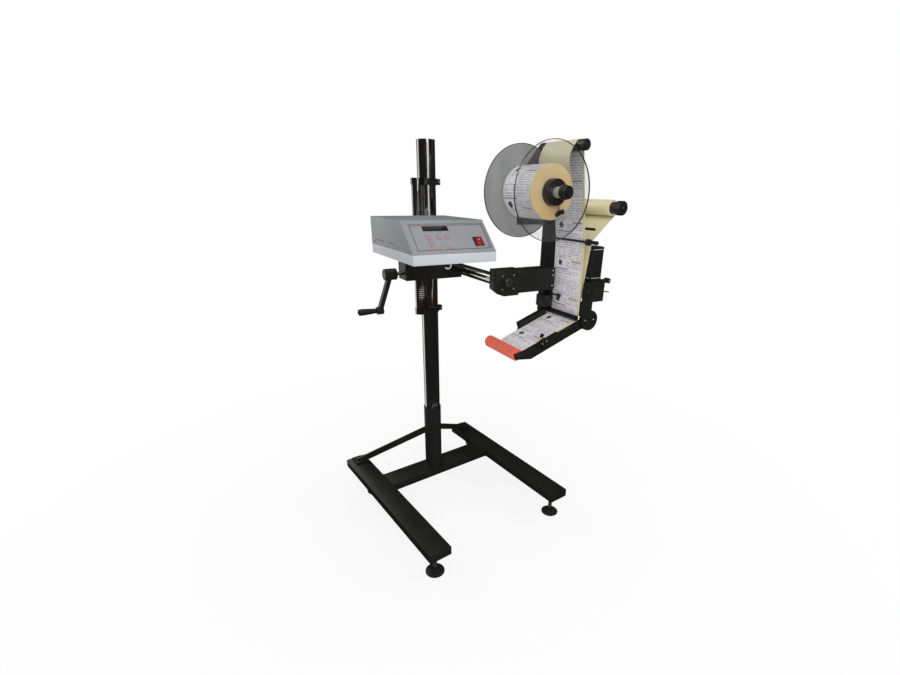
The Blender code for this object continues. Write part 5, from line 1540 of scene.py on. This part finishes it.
def peeled_label():
    """The label that has left its liner and reaches from the table's edge to the wipe roller."""
    mesh = NODES["table_web"].data
    low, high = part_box("table_web")
    tops = sorted((vert.co for vert in mesh.vertices if abs(vert.co.y - low.y) < MERGE),
                  key=lambda co: -co.z)
    start = tops[0]
    roller = centre_of("wipe_roller")
    roller_low, roller_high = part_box("wipe_roller")
    radius = (roller_high.z - roller_low.z) / 2
    edge = max(tops, key=lambda co: -co.x + co.z * 0.6)
    slope = (edge - start).normalized()
    reach = (roller - edge).dot(slope) - radius * 0.35
    normal = Vector((slope.z, 0, -slope.x))
    if normal.z < 0:
        normal = -normal
    width = (high.y - low.y) * PEEL_WIDTH_SHARE
    bm = bmesh.new()
    back = high.y - 0.003
    count = 8
    rows = []
    for index in range(count + 1):
        share = index / count
        lift = normal * (0.0014 * share * share + LABEL_THICK)
        spot = edge + slope * (reach * share - 0.004) + lift
        rows.append([bm.verts.new((spot.x, y, spot.z)) for y in (back - width, back)])
    uv = bm.loops.layers.uv.new("UVMap")
    for index, (one, other) in enumerate(zip(rows, rows[1:])):
        face = bm.faces.new((one[0], one[1], other[1], other[0]))
        for loop in face.loops:
            run = (loop.vert.co - edge).dot(slope)
            loop[uv].uv = (0.012 - run, high.y - loop.vert.co.y)
    bmesh.ops.recalc_face_normals(bm, faces=bm.faces)
    bmesh.ops.solidify(bm, geom=bm.faces[:], thickness=LABEL_THICK)
    piece("peeled_label", bm, finish(printed_paper), "table")


class APPLICATOR_OT_rollers(ApplicatorOperator, bpy.types.Operator):
    """Dresses the rollers and the rewind reel"""

    bl_idname = "applicator.rollers"
    bl_label = "Rollers"

    def execute(self, context):
        dress("top_roller", finish(black_plastic))
        dress("drive_roller", finish(roller_mix, "drive_roller", 0.003))
        dress("rewind_reel", finish(black_plastic))
        for node in ("top_roller", "rewind_reel", "guide_rod"):
            end_ring(node)
        rewound_liner()
        return {"FINISHED"}


def end_ring(node):
    """The retaining ring and the screw in the front end of a roller."""
    low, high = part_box(node)
    middle = (low + high) / 2
    radius = (high.x - low.x) / 2
    ring = spun([(radius * 0.62, 0), (radius * 0.80, 0), (radius * 0.80, 0.0009), (radius * 0.62, 0.0009)],
                SMALL_STEPS, True)
    place = (middle.x, low.y, middle.z)
    piece(f"{node}_ring", aimed(ring, place, (0, -1, 0)), finish(dark_steel), BODY_OF[node])
    screw = aimed(cap_screw(radius * 0.26), place, (0, -1, 0))
    piece(f"{node}_screw", screw, finish(dark_steel), BODY_OF[node])


LINER_BORE = 0.0182


def rewound_liner():
    """The liner wound on the rewind reel, with a wavy outer turn."""
    low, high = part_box("liner_roll")
    centre = (low + high) / 2
    radius = (high.x - low.x) / 2
    width = high.y - low.y
    profile = [(LINER_BORE, 0), (radius - 0.0004, 0), (radius, 0.0003), (radius, width - 0.0003),
               (radius - 0.0004, width), (LINER_BORE, width)]
    bm = aimed(spun(profile, 96, True), (centre.x, low.y, centre.z), (0, 1, 0))
    uv = bm.loops.layers.uv.new("UVMap")
    for face in bm.faces:
        for loop in face.loops:
            spot = loop.vert.co - centre
            loop[uv].uv = (math.atan2(spot.z, spot.x) * radius, high.y - loop.vert.co.y)
    piece("liner_roll_wound", bm, finish(liner_paper), "rewind", "liner_roll")


class APPLICATOR_OT_table(ApplicatorOperator, bpy.types.Operator):
    """Dresses the peel table and the wipe roller"""

    bl_idname = "applicator.table"
    bl_label = "Table"

    def execute(self, context):
        dress("side_plate", finish(black_paint), 0.0)
        dress("table_plate", finish(black_paint))
        wipe_roller()
        table_clamp()
        plate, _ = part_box("front_plate")
        slots = [(TABLE_PIVOT[0] + side * SLOT_REACH, plate.y - 0.0003, TABLE_PIVOT[1]) for side in (-1, 1)]
        screws("tilt_screws", pan_screw, 0.0050, slots, (0, -1, 0), finish(bright_metal), "table")
        return {"FINISHED"}


def wipe_roller():
    """The foam roller: foam sleeve on a black axle."""
    dress("wipe_roller", finish(foam_rubber))


CLAMP_SHARE = 0.30
TABLE_PIVOT = (0.2961, 0.8920)
SLOT_REACH = 0.018


def table_clamp():
    """The clamp on the side plate: a block with two bright screws, a bar and a thumb screw on top."""
    low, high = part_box("side_plate")
    pivot = centre_of("wipe_roller")
    drop = math.radians(20.0)
    along = Vector((math.cos(drop), 0, math.sin(drop)))
    up = Vector((-math.sin(drop), 0, math.cos(drop)))
    foot = Vector((pivot.x, low.y, pivot.z)) + along * ((high.x - low.x) * CLAMP_SHARE)
    foot = landing("side_plate", foot, Vector((0, -1, 0)))
    turn = Matrix.Rotation(-drop, 4, "Y")

    def set_in(bm, right, rise, out):
        place = foot + along * right + up * rise + Vector((0, -out, 0))
        bmesh.ops.transform(bm, matrix=Matrix.Translation(place) @ turn, verts=bm.verts)
        return bm

    body = set_in(block((0.020, 0.011, 0.026), 0.0012), 0, -0.003, 0.0053)
    strip = set_in(block((0.046, 0.005, 0.008), 0.0008), -0.004, 0.0035, 0.0132)
    piece("table_clamp", together([body, strip]), finish(cast_black), "table")
    spots = [foot + along * right + up * 0.0035 + Vector((0, -0.0157, 0)) for right in (-0.012, 0.006)]
    screws("table_clamp_screws", cap_screw, 0.0030, spots, (0, -1, 0), finish(bright_metal), "table")
    stem = aimed(rod(0.0022, 0.016, 0.0002), foot + up * 0.009 + Vector((0, -0.0053, 0)), up)
    piece("table_clamp_stem", stem, finish(steel, "Z"), "table")
    wing = together([rod(0.0045, 0.007, 0.0006), block((0.0170, 0.0032, 0.0060), 0.0010)])
    piece("table_clamp_wing", aimed(wing, foot + up * 0.0225 + Vector((0, -0.0053, 0)), up),
          finish(black_plastic), "table")


OPERATORS = (
    APPLICATOR_OT_stage, APPLICATOR_OT_stand, APPLICATOR_OT_column, APPLICATOR_OT_carriage,
    APPLICATOR_OT_control_box, APPLICATOR_OT_crank, APPLICATOR_OT_arm, APPLICATOR_OT_head_frame,
    APPLICATOR_OT_spool, APPLICATOR_OT_webs, APPLICATOR_OT_rollers, APPLICATOR_OT_table,
)


class APPLICATOR_PT_panel(bpy.types.Panel):
    """Lists the groups of pieces and their settings"""

    bl_idname = "APPLICATOR_PT_panel"
    bl_label = "Applicator"
    bl_space_type = "VIEW_3D"
    bl_region_type = "UI"
    bl_category = "Applicator"

    def draw(self, context):
        for settings in SETTINGS:
            group = getattr(context.scene, settings)
            for name in group.bl_rna.properties.keys():
                if name not in ("rna_type", "name"):
                    self.layout.prop(group, name)
        for operator in OPERATORS:
            self.layout.operator(operator.bl_idname)


SETTINGS = {
    "applicator_stage": StageSettings,
    "applicator_paint": PaintSettings,
    "applicator_paper": PaperSettings,
    "applicator_trim": TrimSettings,
}


def register():
    for name, group in SETTINGS.items():
        bpy.utils.register_class(group)
        setattr(bpy.types.Scene, name, PointerProperty(type=group))
    for operator in OPERATORS:
        bpy.utils.register_class(operator)
    bpy.utils.register_class(APPLICATOR_PT_panel)


def unregister():
    bpy.utils.unregister_class(APPLICATOR_PT_panel)
    for operator in reversed(OPERATORS):
        bpy.utils.unregister_class(operator)
    for name, group in SETTINGS.items():
        delattr(bpy.types.Scene, name)
        bpy.utils.unregister_class(group)


def main():
    register()
    for operator in OPERATORS:
        group, name = operator.bl_idname.split(".")
        getattr(getattr(bpy.ops, group), name)()


if __name__ == "__main__":
    main()
